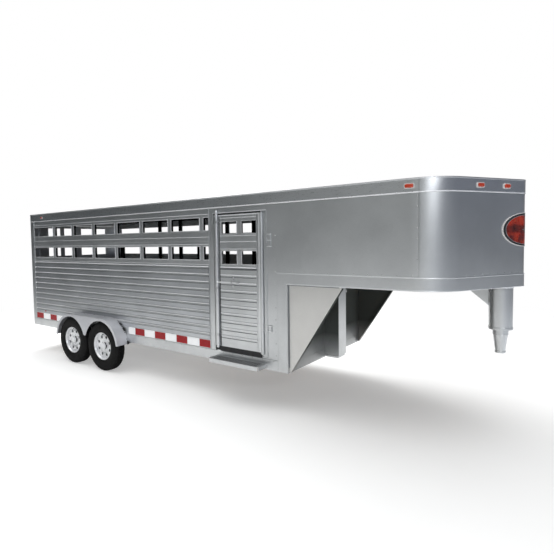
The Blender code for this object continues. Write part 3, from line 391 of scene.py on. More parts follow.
def smooth_nodes():
    """A node group that shades smooth across edges flatter than the angle it is given."""
    group = bpy.data.node_groups.new("smooth_by_angle", "GeometryNodeTree")
    group.interface.new_socket("Geometry", in_out="INPUT", socket_type="NodeSocketGeometry")
    group.interface.new_socket("Geometry", in_out="OUTPUT", socket_type="NodeSocketGeometry")
    start, end = group.nodes.new("NodeGroupInput"), group.nodes.new("NodeGroupOutput")
    angle = group.nodes.new("GeometryNodeInputMeshEdgeAngle")
    limit = group.nodes.new("FunctionNodeCompare")
    limit.data_type, limit.operation = "FLOAT", "LESS_THAN"
    limit.inputs[1].default_value = math.radians(38)
    faces = group.nodes.new("GeometryNodeSetShadeSmooth")
    faces.domain = "FACE"
    edges = group.nodes.new("GeometryNodeSetShadeSmooth")
    edges.domain = "EDGE"
    link = group.links.new
    link(start.outputs[0], faces.inputs["Geometry"])
    link(faces.outputs[0], edges.inputs["Geometry"])
    link(angle.outputs["Unsigned Angle"], limit.inputs[0])
    link(limit.outputs[0], edges.inputs["Shade Smooth"])
    link(edges.outputs[0], end.inputs[0])
    return group


SMOOTH = smooth_nodes()
ROUNDING = 2                             # faces across every rounded edge
BEVELS = {"silver_paint": 0.0022, "bright_metal": 0.0012, "dark_steel": 0.0015, "timber": 0.0015,
          "wheel_paint": 0.0015, "tyre": 0.004, "lens_orange": 0.002, "badge_red": 0.0008}


def round_off(obj, width):
    """Rounded edges with level shading on flat faces."""
    weld = obj.modifiers.new("weld", "WELD")
    weld.merge_threshold = 0.00002
    if width:
        bevel = obj.modifiers.new("edges", "BEVEL")
        bevel.width, bevel.segments = width, ROUNDING
        bevel.limit_method, bevel.angle_limit = "ANGLE", math.radians(42)
        bevel.miter_outer = "MITER_ARC"
    shade = obj.modifiers.new("shade", "NODES")
    shade.node_group = SMOOTH
    level = obj.modifiers.new("level", "WEIGHTED_NORMAL")
    level.keep_sharp = True


def dress_nodes():
    slots = {part["node"]: part["material_slot"] for part in frame["record"]["subparts"]}
    for name, obj in frame["nodes"].items():
        obj.data.materials.clear()
        obj.data.materials.append(OWN_LOOKS.get(name, SLOT_LOOKS[slots[name]]))
        if "custom_normal" in obj.data.attributes:
            obj.data.attributes.remove(obj.data.attributes["custom_normal"])
        round_off(obj, BEVELS[slots[name]])


# ------------------------------------------------------------------ camera, light, floor

EYE = (4.4429, -5.3743, 2.0064)
YAW, PITCH, ROLL = math.radians(38.439), math.radians(3.04), math.radians(-1.003)
LENS_MM, SHIFT = 29.19, (0.0809, -0.0223)
ROOM_SIDE = (0.055, 0.063, 0.065)        # tone of the room where no wall of the table below is near
ROOM_WALLS = (                           # tone, direction, and where the spread starts and is full
    ((0.022, 0.027, 0.030), (-1, 0, 0), 0.35, 0.85),             # rear
    ((0.338, 0.349, 0.343), (0.13, -0.9915, 0), 0.62, 0.98),     # near side
    ((0.125, 0.140, 0.180), (1, 0, 0), 0.30, 0.80),              # front
    ((0.220, 0.230, 0.240), (-0.25, 0.97, 0), 0.25, 0.75),       # far side
    ((2.050, 2.050, 2.050), (0, 0, 1), 0.56, 0.93))              # ceiling
FLOOR_TONES = (0.74, 0.74, 0.73), (0.78, 0.78, 0.775)
FLOOR_GLOW = (-1.0, 3.6, 0.38, 0.155)    # two X places, and the glow at each as the camera sees it: painted light that lifts the floor's shadow, more towards the rear
FLOOR_FADE = (4.2, 9.5)                  # distances over which the floor turns to white
FLOOR_NEAR, FLOOR_FAR, FLOOR_DIM = (0.88, 0.88, 0.87), (0.84, 0.87, 0.92), (4.6, 7.5)
FLOOR_OUTER, FLOOR_REACH, FLOOR_MIDDLE = (0.1, 0.105, 0.11), (6.5, 14.5), (1.4, 0, 0)
LIGHTS = {"overhead": ((-4.6, 2.8, 7.2), (0.4, -0.2, 0), (6.5, 5), 620, (1, 1, 1)),
          "corner_glint": ((8.5, -8.0, 5.3), (3.5, -0.8, 2.0), (3.4, 1.4), 225, (0.95, 0.97, 1.0))}


def make_camera():
    forward = Vector((-math.sin(YAW) * math.cos(PITCH), math.cos(YAW) * math.cos(PITCH),
                      -math.sin(PITCH)))
    right = Vector((math.cos(YAW), math.sin(YAW), 0))
    up = right.cross(forward)
    level = right * math.cos(ROLL) + up * math.sin(ROLL)
    top = up * math.cos(ROLL) - right * math.sin(ROLL)
    data = bpy.data.cameras.new("camera")
    data.sensor_width, data.lens = 36, LENS_MM
    data.shift_x, data.shift_y = SHIFT
    camera = bpy.data.objects.new("camera", data)
    camera.matrix_world = (Matrix((level, top, -forward)).transposed().to_4x4())
    camera.matrix_world.translation = EYE
    bpy.context.scene.collection.objects.link(camera)
    bpy.context.scene.camera = camera


def make_world():
    """White to the camera; to the object a bright ceiling over a grey back wall and a dim room."""
    world = bpy.data.worlds.new("studio")
    bpy.context.scene.world = world
    world.use_nodes = True
    tree = world.node_tree
    tree.nodes.clear()
    new, link = tree.nodes.new, tree.links.new
    direction = new("ShaderNodeTexCoord").outputs["Generated"]

    def toward(axis, low, high):
        dot = new("ShaderNodeVectorMath")
        dot.operation = "DOT_PRODUCT"
        link(direction, dot.inputs[0])
        dot.inputs[1].default_value = axis
        spread = new("ShaderNodeMapRange")
        spread.interpolation_type = "SMOOTHSTEP"
        spread.inputs["From Min"].default_value, spread.inputs["From Max"].default_value = low, high
        link(dot.outputs["Value"], spread.inputs["Value"])
        return spread.outputs[0]

    def blend(first, second, factor):
        node = new("ShaderNodeMix")
        node.data_type = "RGBA"
        link(factor, node.inputs[0])
        for socket, value in ((node.inputs[6], first), (node.inputs[7], second)):
            if isinstance(value, tuple):
                socket.default_value = (*value, 1)
            else:
                link(value, socket)
        return node.outputs[2]

    room = ROOM_SIDE
    for tone, axis, start, full in ROOM_WALLS:
        room = blend(room, tone, toward(axis, start, full))
    lit, seen = new("ShaderNodeBackground"), new("ShaderNodeBackground")
    link(room, lit.inputs["Color"])
    seen.inputs["Color"].default_value = (1, 1, 1, 1)
    path, choice = new("ShaderNodeLightPath"), new("ShaderNodeMixShader")
    out = new("ShaderNodeOutputWorld")
    link(path.outputs["Is Camera Ray"], choice.inputs[0])
    link(lit.outputs[0], choice.inputs[1])
    link(seen.outputs[0], choice.inputs[2])
    link(choice.outputs[0], out.inputs["Surface"])


def soft_light(name, place, target, size, power, colour):
    """An area light at a place, turned to face a target."""
    data = bpy.data.lights.new(name, "AREA")
    data.shape, data.size, data.size_y = "RECTANGLE", size[0], size[1]
    data.energy, data.color = power, colour
    lamp_object = bpy.data.objects.new(name, data)
    lamp_object.location = place
    lamp_object.rotation_euler = (Vector(target) - Vector(place)).to_track_quat("-Z", "Y").to_euler()
    bpy.context.scene.collection.objects.link(lamp_object)


def make_floor():
    """A pale floor that fades to the white of the backdrop away from the object; where the camera sees it,
    a painted glow lifts its shadow, more towards the rear.
    """
    m = Nodes("floor_look", roughness=0.7, specular=0.1)
    m.colour(m.mix(*FLOOR_TONES, m.noise(0.7, 5)))
    m.bump(m.noise(90, 4), 0.0004, 0.3)
    away = m.new("ShaderNodeVectorMath", operation="LENGTH")
    m.link(m.place, away.inputs[0])
    fade = m.remap(away.outputs["Value"], *FLOOR_FADE)
    glow, white = m.new("ShaderNodeEmission"), m.new("ShaderNodeEmission")
    lit = m.new("ShaderNodeAddShader")
    x = m.axes()[0]
    m.link(m.remap(x, *FLOOR_GLOW), glow.inputs["Strength"])
    white.inputs["Strength"].default_value = 1.0
    m.link(m.shader.outputs[0], lit.inputs[0])
    m.link(glow.outputs[0], lit.inputs[1])
    seen = m.choose(fade, lit.outputs[0], white.outputs[0])
    dimmed = m.new("ShaderNodeBsdfDiffuse")
    bounce = m.mix(FLOOR_NEAR, FLOOR_FAR, m.remap(x, *FLOOR_DIM))
    shifted = m.new("ShaderNodeVectorMath", operation="DISTANCE")
    m.link(m.place, shifted.inputs[0])
    shifted.inputs[1].default_value = FLOOR_MIDDLE
    bounce = m.mix(bounce, FLOOR_OUTER, m.remap(shifted.outputs["Value"], *FLOOR_REACH))
    m.link(bounce, dimmed.inputs["Color"])
    camera_ray = m.new("ShaderNodeLightPath").outputs["Is Camera Ray"]
    final = m.choose(camera_ray, dimmed.outputs[0], seen)
    m.link(final, m.tree.nodes["Material Output"].inputs["Surface"])
    bm = bmesh.new()
    bmesh.ops.create_grid(bm, x_segments=8, y_segments=8, size=80)
    data = bpy.data.meshes.new("floor")
    bm.to_mesh(data)
    bm.free()
    data.materials.append(m.material)
    floor = bpy.data.objects.new("floor", data)
    bpy.context.scene.collection.objects.link(floor)


# ------------------------------------------------------------------ mesh building


def polar(radius, angle):
    return radius * math.cos(angle), radius * math.sin(angle)


def bridge(bm, rings, ends=False):
    """Faces between each ring of vertices and the next, and over both ends when asked."""
    for a, b in zip(rings, rings[1:]):
        for i in range(len(a)):
            j = (i + 1) % len(a)
            bm.faces.new((a[i], a[j], b[j], b[i]))
    if ends:
        bm.faces.new(rings[0])
        bm.faces.new(rings[-1][::-1])


def round_edges(bm, edges, width):
    bmesh.ops.bevel(bm, geom=edges, offset=width, segments=ROUNDING, profile=0.5, affect="EDGES")


class Shape:
    """Closed bodies gathered in one mesh."""

    def __init__(self):
        self.bm = bmesh.new()

    def take(self, bm, matrix=None):
        """Adds a body, moved by a matrix, with its faces turned outward."""
        if matrix is not None:
            bmesh.ops.transform(bm, matrix=matrix, verts=bm.verts)
        bmesh.ops.recalc_face_normals(bm, faces=bm.faces)
        if bm.calc_volume(signed=True) < 0:
            bmesh.ops.reverse_faces(bm, faces=bm.faces)
        data = bpy.data.meshes.new("part")
        bm.to_mesh(data)
        bm.free()
        self.bm.from_mesh(data)
        bpy.data.meshes.remove(data)

    def box(self, x, y, z, bevel=0.0, matrix=None):
        bm = bmesh.new()
        size = [b - a for a, b in (x, y, z)]
        middle = [(a + b) / 2 for a, b in (x, y, z)]
        unit = Matrix.Translation(middle) @ Matrix.Diagonal((*size, 1))
        bmesh.ops.create_cube(bm, size=1.0, matrix=unit)
        if bevel:
            round_edges(bm, bm.edges[:], min(bevel, min(size) * 0.45))
        self.take(bm, matrix)

    def rod(self, start, end, radius, segments=20, end_radius=None, bevel=0.0, matrix=None):
        """A round bar, or a cone when its end has a radius of its own."""
        start, end = Vector(start), Vector(end)
        bm = bmesh.new()
        tip = radius if end_radius is None else end_radius
        bmesh.ops.create_cone(bm, cap_ends=True, segments=segments, radius1=radius, radius2=tip,
                              depth=(end - start).length)
        if bevel:
            round_edges(bm, [e for e in bm.edges if e.calc_face_angle(0) > 1.0], bevel)
        turn = (end - start).to_track_quat("Z", "Y").to_matrix().to_4x4()
        place = Matrix.Translation((start + end) / 2) @ turn
        self.take(bm, (matrix @ place) if matrix is not None else place)

    def turn(self, profile, place, segments=48):
        """A closed profile of (radius, height) points turned about its own Z."""
        bm = bmesh.new()
        rings = []
        for radius, height in profile:
            if radius < 1e-6:
                rings.append([bm.verts.new((0, 0, height))] * segments)
                continue
            angles = [math.tau * i / segments for i in range(segments)]
            rings.append([bm.verts.new((*polar(radius, a), height)) for a in angles])
        closed = profile[0][0] > 1e-6
        for first, second in zip(rings, rings[1:] + ([rings[0]] if closed else [])):
            for i in range(segments):
                j = (i + 1) % segments
                corners = [first[i], first[j], second[j], second[i]]
                corners = [v for k, v in enumerate(corners) if v not in corners[:k]]
                if len(corners) > 2:
                    bm.faces.new(corners)
        self.take(bm, place)

    def dome(self, place, normal, radius=0.005, height=0.0022, segments=8):
        """A low round head, a rivet's if not told otherwise, with its base just inside the surface."""
        turn = Vector(normal).to_track_quat("Z", "Y").to_matrix().to_4x4()
        base = -0.0004
        profile = [(0, base), (radius, base), (radius, height * 0.25), (radius * 0.78, height * 0.7),
                   (radius * 0.4, height * 0.95), (0, height)]
        self.turn(profile, Matrix.Translation(place) @ turn, segments)

    def prism(self, outline, depth, matrix=None, bevel=0.0):
        """A flat outline in XY given thickness from depth[0] to depth[1] along Z."""
        bm = bmesh.new()
        lower = bm.faces.new([bm.verts.new((u, v, depth[0])) for u, v in outline])
        raised = bmesh.ops.extrude_face_region(bm, geom=[lower])["geom"]
        top = [v for v in raised if isinstance(v, bmesh.types.BMVert)]
        bmesh.ops.translate(bm, verts=top, vec=(0, 0, depth[1] - depth[0]))
        bmesh.ops.recalc_face_normals(bm, faces=bm.faces)
        if bevel:
            round_edges(bm, [e for e in bm.edges if e.calc_face_angle(0) > 0.6], bevel)
        self.take(bm, matrix)

    def loop_prism(self, outer, inner, depth, matrix=None):
        """A frame between two outlines with the same number of points."""
        bm = bmesh.new()
        low, high = depth
        rings = [[bm.verts.new((u, v, z)) for u, v in line]
                 for line, z in ((outer, low), (outer, high), (inner, high), (inner, low))]
        bridge(bm, rings + rings[:1])
        self.take(bm, matrix)

    def rim(self, opening, outer, inner, depth, matrix):
        """A frame round an opening (a, b, low, high); outer and inner are each a margin and a corner."""
        a, b, low, high = opening
        lines = [rounded(b - a + margin, high - low + margin, corner, 3, ((a + b) / 2, (low + high) / 2))
                 for margin, corner in (outer, inner)]
        self.loop_prism(*lines, depth, matrix)

    def strip(self, path, section):
        """A section of (out, up) points swept along a level path of points."""
        bm = bmesh.new()
        rings = []
        for i, point in enumerate(path):
            before = (point - path[i - 1]).normalized() if i else None
            after = (path[i + 1] - point).normalized() if i + 1 < len(path) else None
            ends = [d for d in (before, after) if d is not None]
            along = sum(ends, Vector()).normalized()
            out = Vector((along.y, -along.x, 0)) / max(0.3, along.dot(ends[0]))
            rings.append([bm.verts.new(point + out * u + Vector((0, 0, v))) for u, v in section])
        bridge(bm, rings, ends=True)
        self.take(bm)

    def tube(self, path, radius, segments=12, matrix=None):
        """A round bar bent along a path."""
        bm = bmesh.new()
        rings = []
        side = None
        for i, point in enumerate(path):
            along = (path[min(i + 1, len(path) - 1)] - path[max(i - 1, 0)]).normalized()
            if side is None:
                side = along.orthogonal().normalized()
            side = (side - along * side.dot(along)).normalized()
            other = along.cross(side)
            rings.append([bm.verts.new(point + (side * math.cos(a) + other * math.sin(a)) * radius)
                          for a in (math.tau * k / segments for k in range(segments))])
        bridge(bm, rings, ends=True)
        self.take(bm, matrix)

    def done(self, name, material, body="trailer", slot=None):
        """Makes the object, riding on a body; the finish slot, the one given or else its material's, is
        worked out but not used.
        """
        data = bpy.data.meshes.new(name)
        self.bm.to_mesh(data)
        self.bm.free()
        data.materials.append(material)
        obj = bpy.data.objects.new(name, data)
        bpy.context.scene.collection.objects.link(obj)
        round_off(obj, 0)
        slot = FINISHES.get(material) if slot is None else slot
        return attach(obj, body)


def boxes(name, material, place, rows, body="trailer", slot=None):
    """One piece of boxes; a row is the spans along, up and outward on a face, and the bevel."""
    shape = Shape()
    for along, up, out, bevel in rows:
        shape.box(along, up, out, bevel, place)
    shape.done(name, material, body, slot)


def rounded(width, height, corner, steps=5, centre=(0, 0)):
    """Outline of a rectangle with round corners, counterclockwise."""
    points = []
    for k, (sx, sy) in enumerate(((1, 1), (-1, 1), (-1, -1), (1, -1))):
        for i in range(steps + 1):
            u, v = polar(corner, math.radians(90 * k + 90 * i / steps))
            points.append((centre[0] + sx * (width / 2 - corner) + u,
                           centre[1] + sy * (height / 2 - corner) + v))
    return points


def facing(x, y, z, normal):
    """A frame at a point whose Z is a level normal and whose X runs level along the surface."""
    normal = Vector(normal).normalized()
    along = Vector((0, 0, 1)).cross(normal)
    turn = Matrix((along, Vector((0, 0, 1)), normal)).transposed().to_4x4()
    return Matrix.Translation((x, y, z)) @ turn


def arc(centre, radius, start, end, steps):
    spots = [polar(radius, math.radians(start + (end - start) * i / steps)) for i in range(steps + 1)]
    return [(centre[0] + u, centre[1] + v) for u, v in spots]


# ------------------------------------------------------------------ plan of the nose

BODY_LENGTH, CORNER_RADIUS, TIP_RADIUS, NOSE_ANGLE = 7.84, 0.45, 0.12, math.radians(61)
SHARP_TIP = BODY_LENGTH + TIP_RADIUS * (1 / math.sin(NOSE_ANGLE) - 1)


def nose_path(inset, start, height):
    """Level path from a station on the right side, round the nose, back to the left side."""
    tip_radius = TIP_RADIUS - min(inset, TIP_RADIUS - 0.01)
    centre_y = -(HALF_WIDTH - CORNER_RADIUS)
    reach = (CORNER_RADIUS - centre_y * math.cos(NOSE_ANGLE)) / math.sin(NOSE_ANGLE)
    turn = math.degrees(NOSE_ANGLE)
    apex = SHARP_TIP - inset / math.sin(NOSE_ANGLE)
    tip_centre = at(apex - tip_radius / math.sin(NOSE_ANGLE))
    half = [(at(start), -(HALF_WIDTH - inset))]
    half += arc((at(SHARP_TIP - reach), centre_y), CORNER_RADIUS - inset, -90, -90 + turn, 10)
    half += arc((tip_centre, 0.0), tip_radius, -90 + turn, 0, 4)
    points = half + [(x, -y) for x, y in reversed(half[:-1])]
    return [Vector((x, y, height)) for x, y in points]


def panel_point(across, side):
    """The point on a side's flat nose panel, and its normal, at a distance from the centreline."""
    normal = Vector((math.sin(NOSE_ANGLE), side * math.cos(NOSE_ANGLE), 0))
    return Vector((at(SHARP_TIP) - across / math.tan(NOSE_ANGLE), side * across, 0)), normal


# ------------------------------------------------------------------ wheels

WHEEL_MID = 1.122                        # middle plane of each wheel, from the trailer's
WHEEL_PLACES = {"rear": 1.575, "front": 2.393}
WHEEL_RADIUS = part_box("right_front_tyre")[1].z / 2
TREAD_STEPS, LUG_PITCH, LUG_SLANT = 256, 8, 60
SIDEWALL = [
    (0.2045, 0.055), (0.209, 0.064), (0.215, 0.07), (0.224, 0.0745), (0.229, 0.08),
    (0.233, 0.0802), (0.237, 0.079), (0.255, 0.085), (0.259, 0.0872), (0.263, 0.0874),
    (0.267, 0.087), (0.285, 0.0905), (0.3, 0.091), (0.318, 0.0893), (0.334, 0.0865),
    (0.3375, 0.0872), (0.341, 0.087), (0.3445, 0.0845), (0.352, 0.082)]
SHOULDER = [(0.359, 0.0795), (0.37, 0.0742), (0.379, 0.068), (0.385, 0.061)]
CROWN = ((0.056, 0), (0.038, 0), (0.0368, 0.0075), (0.0322, 0.0075), (0.031, 0), (0.013, 0),
         (0.0118, 0.0075), (0.0072, 0.0075), (0.006, 0))      # offset and groove depth
RIM_PROFILE = [
    (0.2165, 0.066), (0.2172, 0.069), (0.216, 0.0715), (0.2125, 0.0722), (0.2085, 0.07),
    (0.205, 0.064), (0.202, 0.056), (0.1975, 0.052), (0.1955, 0.048), (0.194, 0.03),
    (0.1925, 0.0245), (0.188, 0.0222), (0.18, 0.0245), (0.165, 0.031), (0.15, 0.0345),
    (0.135, 0.0345), (0.122, 0.031), (0.112, 0.0255), (0.102, 0.0215), (0.094, 0.0192),
    (0.053, 0.019), (0.052, 0.018), (0.052, 0.0132), (0.093, 0.0132), (0.106, 0.017),
    (0.118, 0.0245), (0.135, 0.0285), (0.15, 0.0285), (0.164, 0.025), (0.18, 0.0185),
    (0.188, 0.015), (0.188, -0.035), (0.195, -0.045), (0.2, -0.056), (0.205, -0.064),
    (0.2125, -0.071), (0.2165, -0.069), (0.213, -0.064), (0.2045, -0.054), (0.201, -0.044),
    (0.1945, -0.037), (0.1945, 0.018), (0.2, 0.04), (0.204, 0.053), (0.211, 0.061)]
DRUM_PROFILE = [(0.0545, -0.034), (0.178, -0.034), (0.186, -0.031), (0.186, -0.018),
                (0.182, -0.015), (0.09, -0.012), (0.0545, -0.012)]
CAP_PROFILE = [(0.0, 0.04), (0.05, 0.04), (0.0512, 0.042), (0.0495, 0.0455), (0.044, 0.047),
               (0.0432, 0.056), (0.0405, 0.059), (0.025, 0.0605), (0.0235, 0.059), (0.0, 0.059)]
HAND_HOLE_CIRCLE, LUG_CIRCLE, DRUM_BOLT_CIRCLE = 0.145, 0.07, 0.15


def tread_profile():
    """Section of the tyre as (radius, offset, part) from the outer bead to the inner bead."""
    crown = [(WHEEL_RADIUS - 0.003 * (offset / 0.056) ** 2 - depth, offset) for offset, depth in CROWN]
    half = [(radius, offset, part) for line, part in ((SIDEWALL, "wall"), (SHOULDER, "shoulder"),
                                                      (crown, "crown")) for radius, offset in line]
    return half + [(radius, -offset, part) for radius, offset, part in reversed(half)]


def make_tyre(name, body, place):
    """A tyre with block tread, sidewall ribs and lugs cut into its shoulders."""
    profile = tread_profile()
    bm = bmesh.new()
    rings = []
    for i in range(TREAD_STEPS):
        ring = []
        for radius, offset, part in profile:
            slant = int(round(offset * LUG_SLANT))
            phase = (i + slant + (2 if offset < 0 else 0)) % LUG_PITCH
            if part == "crown" and abs(offset) > 0.0375 and phase < 2:
                radius -= 0.006
            elif part == "crown" and abs(offset) < 0.032 and phase == 5 and radius > WHEEL_RADIUS - 0.004:
                radius -= 0.0035
            elif part == "shoulder" and phase < 2:
                radius -= 0.004
                offset -= math.copysign(0.0022, offset)
            ring.append(bm.verts.new((*polar(radius, math.tau * i / TREAD_STEPS), offset)))
        rings.append(ring)
    bridge(bm, rings + rings[:1])
    shape = Shape()
    shape.take(bm, place)
    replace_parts(shape.done(name + "_tread_tyre", RUBBER, body), name + "_tyre")


def make_rim(name, body, place):
    """Painted steel wheel: rolled lips, drop centre, and a dished disc with eight round holes."""
    shape = Shape()
    shape.turn(RIM_PROFILE, Matrix.Identity(4), 96)
    wheel = shape.done(name + "_rolled_wheel", WHEEL, body)
    holes = Shape()
    for i in range(8):
        spot = polar(HAND_HOLE_CIRCLE, math.radians(22.5 + 45 * i))
        holes.rod((*spot, -0.01), (*spot, 0.07), 0.024, 24)
    cutter = holes.done("cutter", WHEEL, body)
    bore = wheel.modifiers.new("holes", "BOOLEAN")
    bore.operation, bore.solver, bore.object = "DIFFERENCE", "EXACT", cutter
    wheel.modifiers.move(len(wheel.modifiers) - 1, 0)
    bpy.context.view_layer.update()
    cut = bpy.data.meshes.new_from_object(wheel.evaluated_get(bpy.context.evaluated_depsgraph_get()))
    cut.transform(place)
    wheel.modifiers.clear()
    wheel.data = cut
    bpy.data.objects.remove(cutter)
    round_off(wheel, 0.0009)
    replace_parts(wheel, name + "_wheel")


def make_wheel_fittings(name, body, place):
    """Lug nuts with their seats and ends, the brake drum, the grease cap and the valve."""
    nuts = Shape()
    for i in range(6):
        spot = polar(LUG_CIRCLE, math.radians(60 * i + 30))
        nuts.rod((*spot, 0.019), (*spot, 0.0225), 0.0125, 20, matrix=place)
        nuts.rod((*spot, 0.0222), (*spot, 0.032), 0.0108, 6, bevel=0.0008, matrix=place)
        nuts.rod((*spot, 0.0315), (*spot, 0.0365), 0.008, 16, 0.0045, bevel=0.0008, matrix=place)
    nuts.done(name + "_lug_nuts", WHEEL, body, "bright_metal")
    # the drum is near-black so the hand holes read dark: a real part, and painted shade inside the wheel
    drum = Shape()
    drum.turn(DRUM_PROFILE, place, 64)
    for i in range(24):
        spot = polar(DRUM_BOLT_CIRCLE, math.tau * i / 24)
        drum.rod((*spot, -0.02), (*spot, -0.01), 0.004, 8, matrix=place)
    drum.done(name + "_brake_drum", BLACK, body, "dark_steel")
    cap = Shape()
    cap.turn(CAP_PROFILE, place, 40)
    cap.done(name + "_grease_cap", WHEEL, body)
    valve = Shape()
    valve.tube([Vector(p) for p in ((0, 0.19, 0.04), (0, 0.186, 0.048), (0, 0.178, 0.062),
                                    (0, 0.174, 0.074))], 0.0038, 10, place)
    valve.done(name + "_valve_stem", BLACK, body)


def make_wheels():
    for side_name, side in SIDES.items():
        for axle, station in WHEEL_PLACES.items():
            name = f"{side_name}_{axle}"
            turn = Matrix.Rotation(math.radians(-90 * side), 4, "X")
            place = Matrix.Translation((at(station), side * WHEEL_MID, WHEEL_RADIUS)) @ turn
            for make in (make_tyre, make_rim, make_wheel_fittings):
                make(name, name + "_wheel_set", place)


# ------------------------------------------------------------------ side walls

WALL_END = {RIGHT: 4.503, LEFT: 5.385}   # the right wall stops short of the side door
WALL_START, FIRST_POST, POST_PITCH, POST_HALF = 0.127, 0.805, 0.596, 0.036
LIPS = ((2.061, 0.0042, 0.009), (1.9675, 0.0045, 0.009), (2.354, 0.0045, 0.0085),
        (1.704, 0.003, 0.008), (0.7185, 0.003, 0.008))    # height, half width and how proud
TAPE_SPANS = {"red": ((0.105, 0.342), (0.579, 0.794), (2.989, 3.202), (3.426, 3.649), (3.872, 4.082),
                      (4.306, 4.5)),
              "white": ((0.342, 0.579), (0.794, 1.009), (2.833, 2.989), (3.202, 3.426),
                        (3.649, 3.872), (4.082, 4.306))}
LEFT_TAPE_SPANS = {"red": ((4.75, 4.97), (5.19, 5.38)), "white": ((4.53, 4.75), (4.97, 5.19))}
TAPE_MIDDLE, TAPE_WIDTH = 0.6635, 0.102
TOP_RIVETS, LOW_RIVETS, NECK_RIVETS = 2.436, 0.59, 1.645      # heights


def window_spans(last):
    posts = [FIRST_POST + i * POST_PITCH for i in range(9)]
    edges = [WALL_START] + [p + s * POST_HALF for p in posts for s in (-1, 1)]
    spans = [(edges[i], edges[i + 1]) for i in range(0, len(edges) - 1, 2)]
    return [(a, min(b, last)) for a, b in spans if a < last - 0.05]


def wall_place(side):
    """Frame on a wall face: X is the station, Y is up, Z is outward."""
    turn = Matrix(((1, 0, 0), (0, 0, side), (0, 1, 0))).to_4x4()
    return Matrix.Translation((at(0), 0, 0)) @ turn


def make_window_trims():
    outer, middle, inner = (0.022, 0.014), (0.012, 0.01), (0.001, 0.006)
    for side_name, side in SIDES.items():
        trims = Shape()
        for span in window_spans(WALL_END[side]):
            for row in ROWS:
                trims.rim(span + row, middle, inner, proud(0.0027), wall_place(side))
                trims.rim(span + row, outer, middle, proud(0.0013), wall_place(side))
        # the trims are in the near-white edge paint: painted highlight round each opening
        trims.done(side_name + "_window_trims", EDGE, slot="silver_paint")


def make_wall_lines():
    """Folded lips between the window rows and along the walls, in the near-white edge paint as a painted
    highlight, and the lips of the posts.
    """
    for side_name, side in SIDES.items():
        lips = [((WALL_START, WALL_END[side]), (z - half, z + half), proud(amount), 0.0022)
                for z, half, amount in LIPS]
        posts = [((0.101, 0.111), (0.72, 2.42), proud(0.0077), 0.003)]
        if side == RIGHT:
            lips.append(((4.578, 5.4), (2.356, 2.363), proud(0.009), 0.003))
            posts += [((4.506, 4.515), (0.606, 2.42), proud(0.006), 0.003),
                      ((4.578, 4.59), (0.626, 2.356), proud(0.0075), 0.003),
                      ((5.402, 5.409), (0.626, 2.356), proud(0.006), 0.003)]
        boxes(side_name + "_wall_lips", EDGE, wall_place(side), lips, slot="silver_paint")
        boxes(side_name + "_post_lips", SILVER, wall_place(side), posts)


def make_tape():
    for side_name, side in SIDES.items():
        for colour, material in (("red", TAPE_RED), ("white", TAPE_WHITE)):
            shape = Shape()
            for a, b in TAPE_SPANS[colour] + (LEFT_TAPE_SPANS[colour] if side == LEFT else ()):
                outline = rounded(b - a - 0.002, TAPE_WIDTH, 0.004, 3, ((a + b) / 2, TAPE_MIDDLE))
                shape.prism(outline, proud(0.0007), wall_place(side))
            shape.done(f"{side_name}_{colour}_tape", material)


def make_rivets():
    """Rows of rivets on the band, rail, corner posts and nose."""
    for side_name, side in SIDES.items():
        place = wall_place(side)
        heads = Shape()

        def row(start, end, pitch, height, out):
            count = max(1, round((end - start) / pitch))
            for i in range(count + 1):
                spot = place @ Vector((start + (end - start) * i / count, height, out))
                heads.dome(spot, (0, side, 0))

        row(0.05, 7.05, 0.15, TOP_RIVETS, HALF_WIDTH)
        row(0.06, 5.48, 0.15, LOW_RIVETS, HALF_WIDTH)
        for i in range(14):
            row(0.045, 0.046, 1, 0.78 + 0.12 * i, HALF_WIDTH)
        for i in range(7):
            start = FIRST_POST + POST_PITCH * i
            for height in (1.752, 1.952, 2.132, 2.326):
                row(start - 0.012, start + 0.012, 0.024, height, WALL_FACE)
        for i in range(12):
            row(5.52, 5.521, 1, 0.66 + 0.14 * i, DOOR_FACE)
        row(5.6, 7.05, 0.145, NECK_RIVETS, DOOR_FACE)
        row(7.098, 7.099, 1, 1.7, DOOR_FACE)
        for i in range(8):
            row(7.094, 7.0945, 1, 1.7 + 0.1 * i, DOOR_FACE)
        for i in range(8):
            spot, normal = panel_point(0.72 - i * 0.09, side)
            for height, lift in ((NECK_RIVETS, -0.004), (TOP_RIVETS, 0.0)):
                heads.dome(spot + Vector((0, 0, height)) + normal * lift, normal)
        heads.done(side_name + "_rivets", BRIGHT)


# ------------------------------------------------------------------ pressed slats

SLAT = [(-0.003, 0.0012), (0.0075, 0.0012), (0.0088, 0.0028), (0.0088, 0.054), (0.0015, 0.0545),
        (0.0015, 0.0785), (0.0094, 0.079), (0.0094, 0.09), (0.007, 0.0935), (-0.003, 0.0945)]
SLAT_GROOVE = [(0.001, 0.0541), (0.0087, 0.0541), (0.0078, 0.059), (0.0052, 0.065),
               (0.004, 0.07), (0.0036, 0.0786), (0.001, 0.0788)]
SLAT_EDGE = [(0.008, 0.0795), (0.0112, 0.0802), (0.0142, 0.0828), (0.0152, 0.0858),
             (0.0142, 0.0886), (0.0116, 0.0908), (0.008, 0.0922)]
SLATS = [0.722 + 0.0965 * i for i in range(10)]                # bottom of each slat
CAP_LENGTH = (0.116, 0.132)


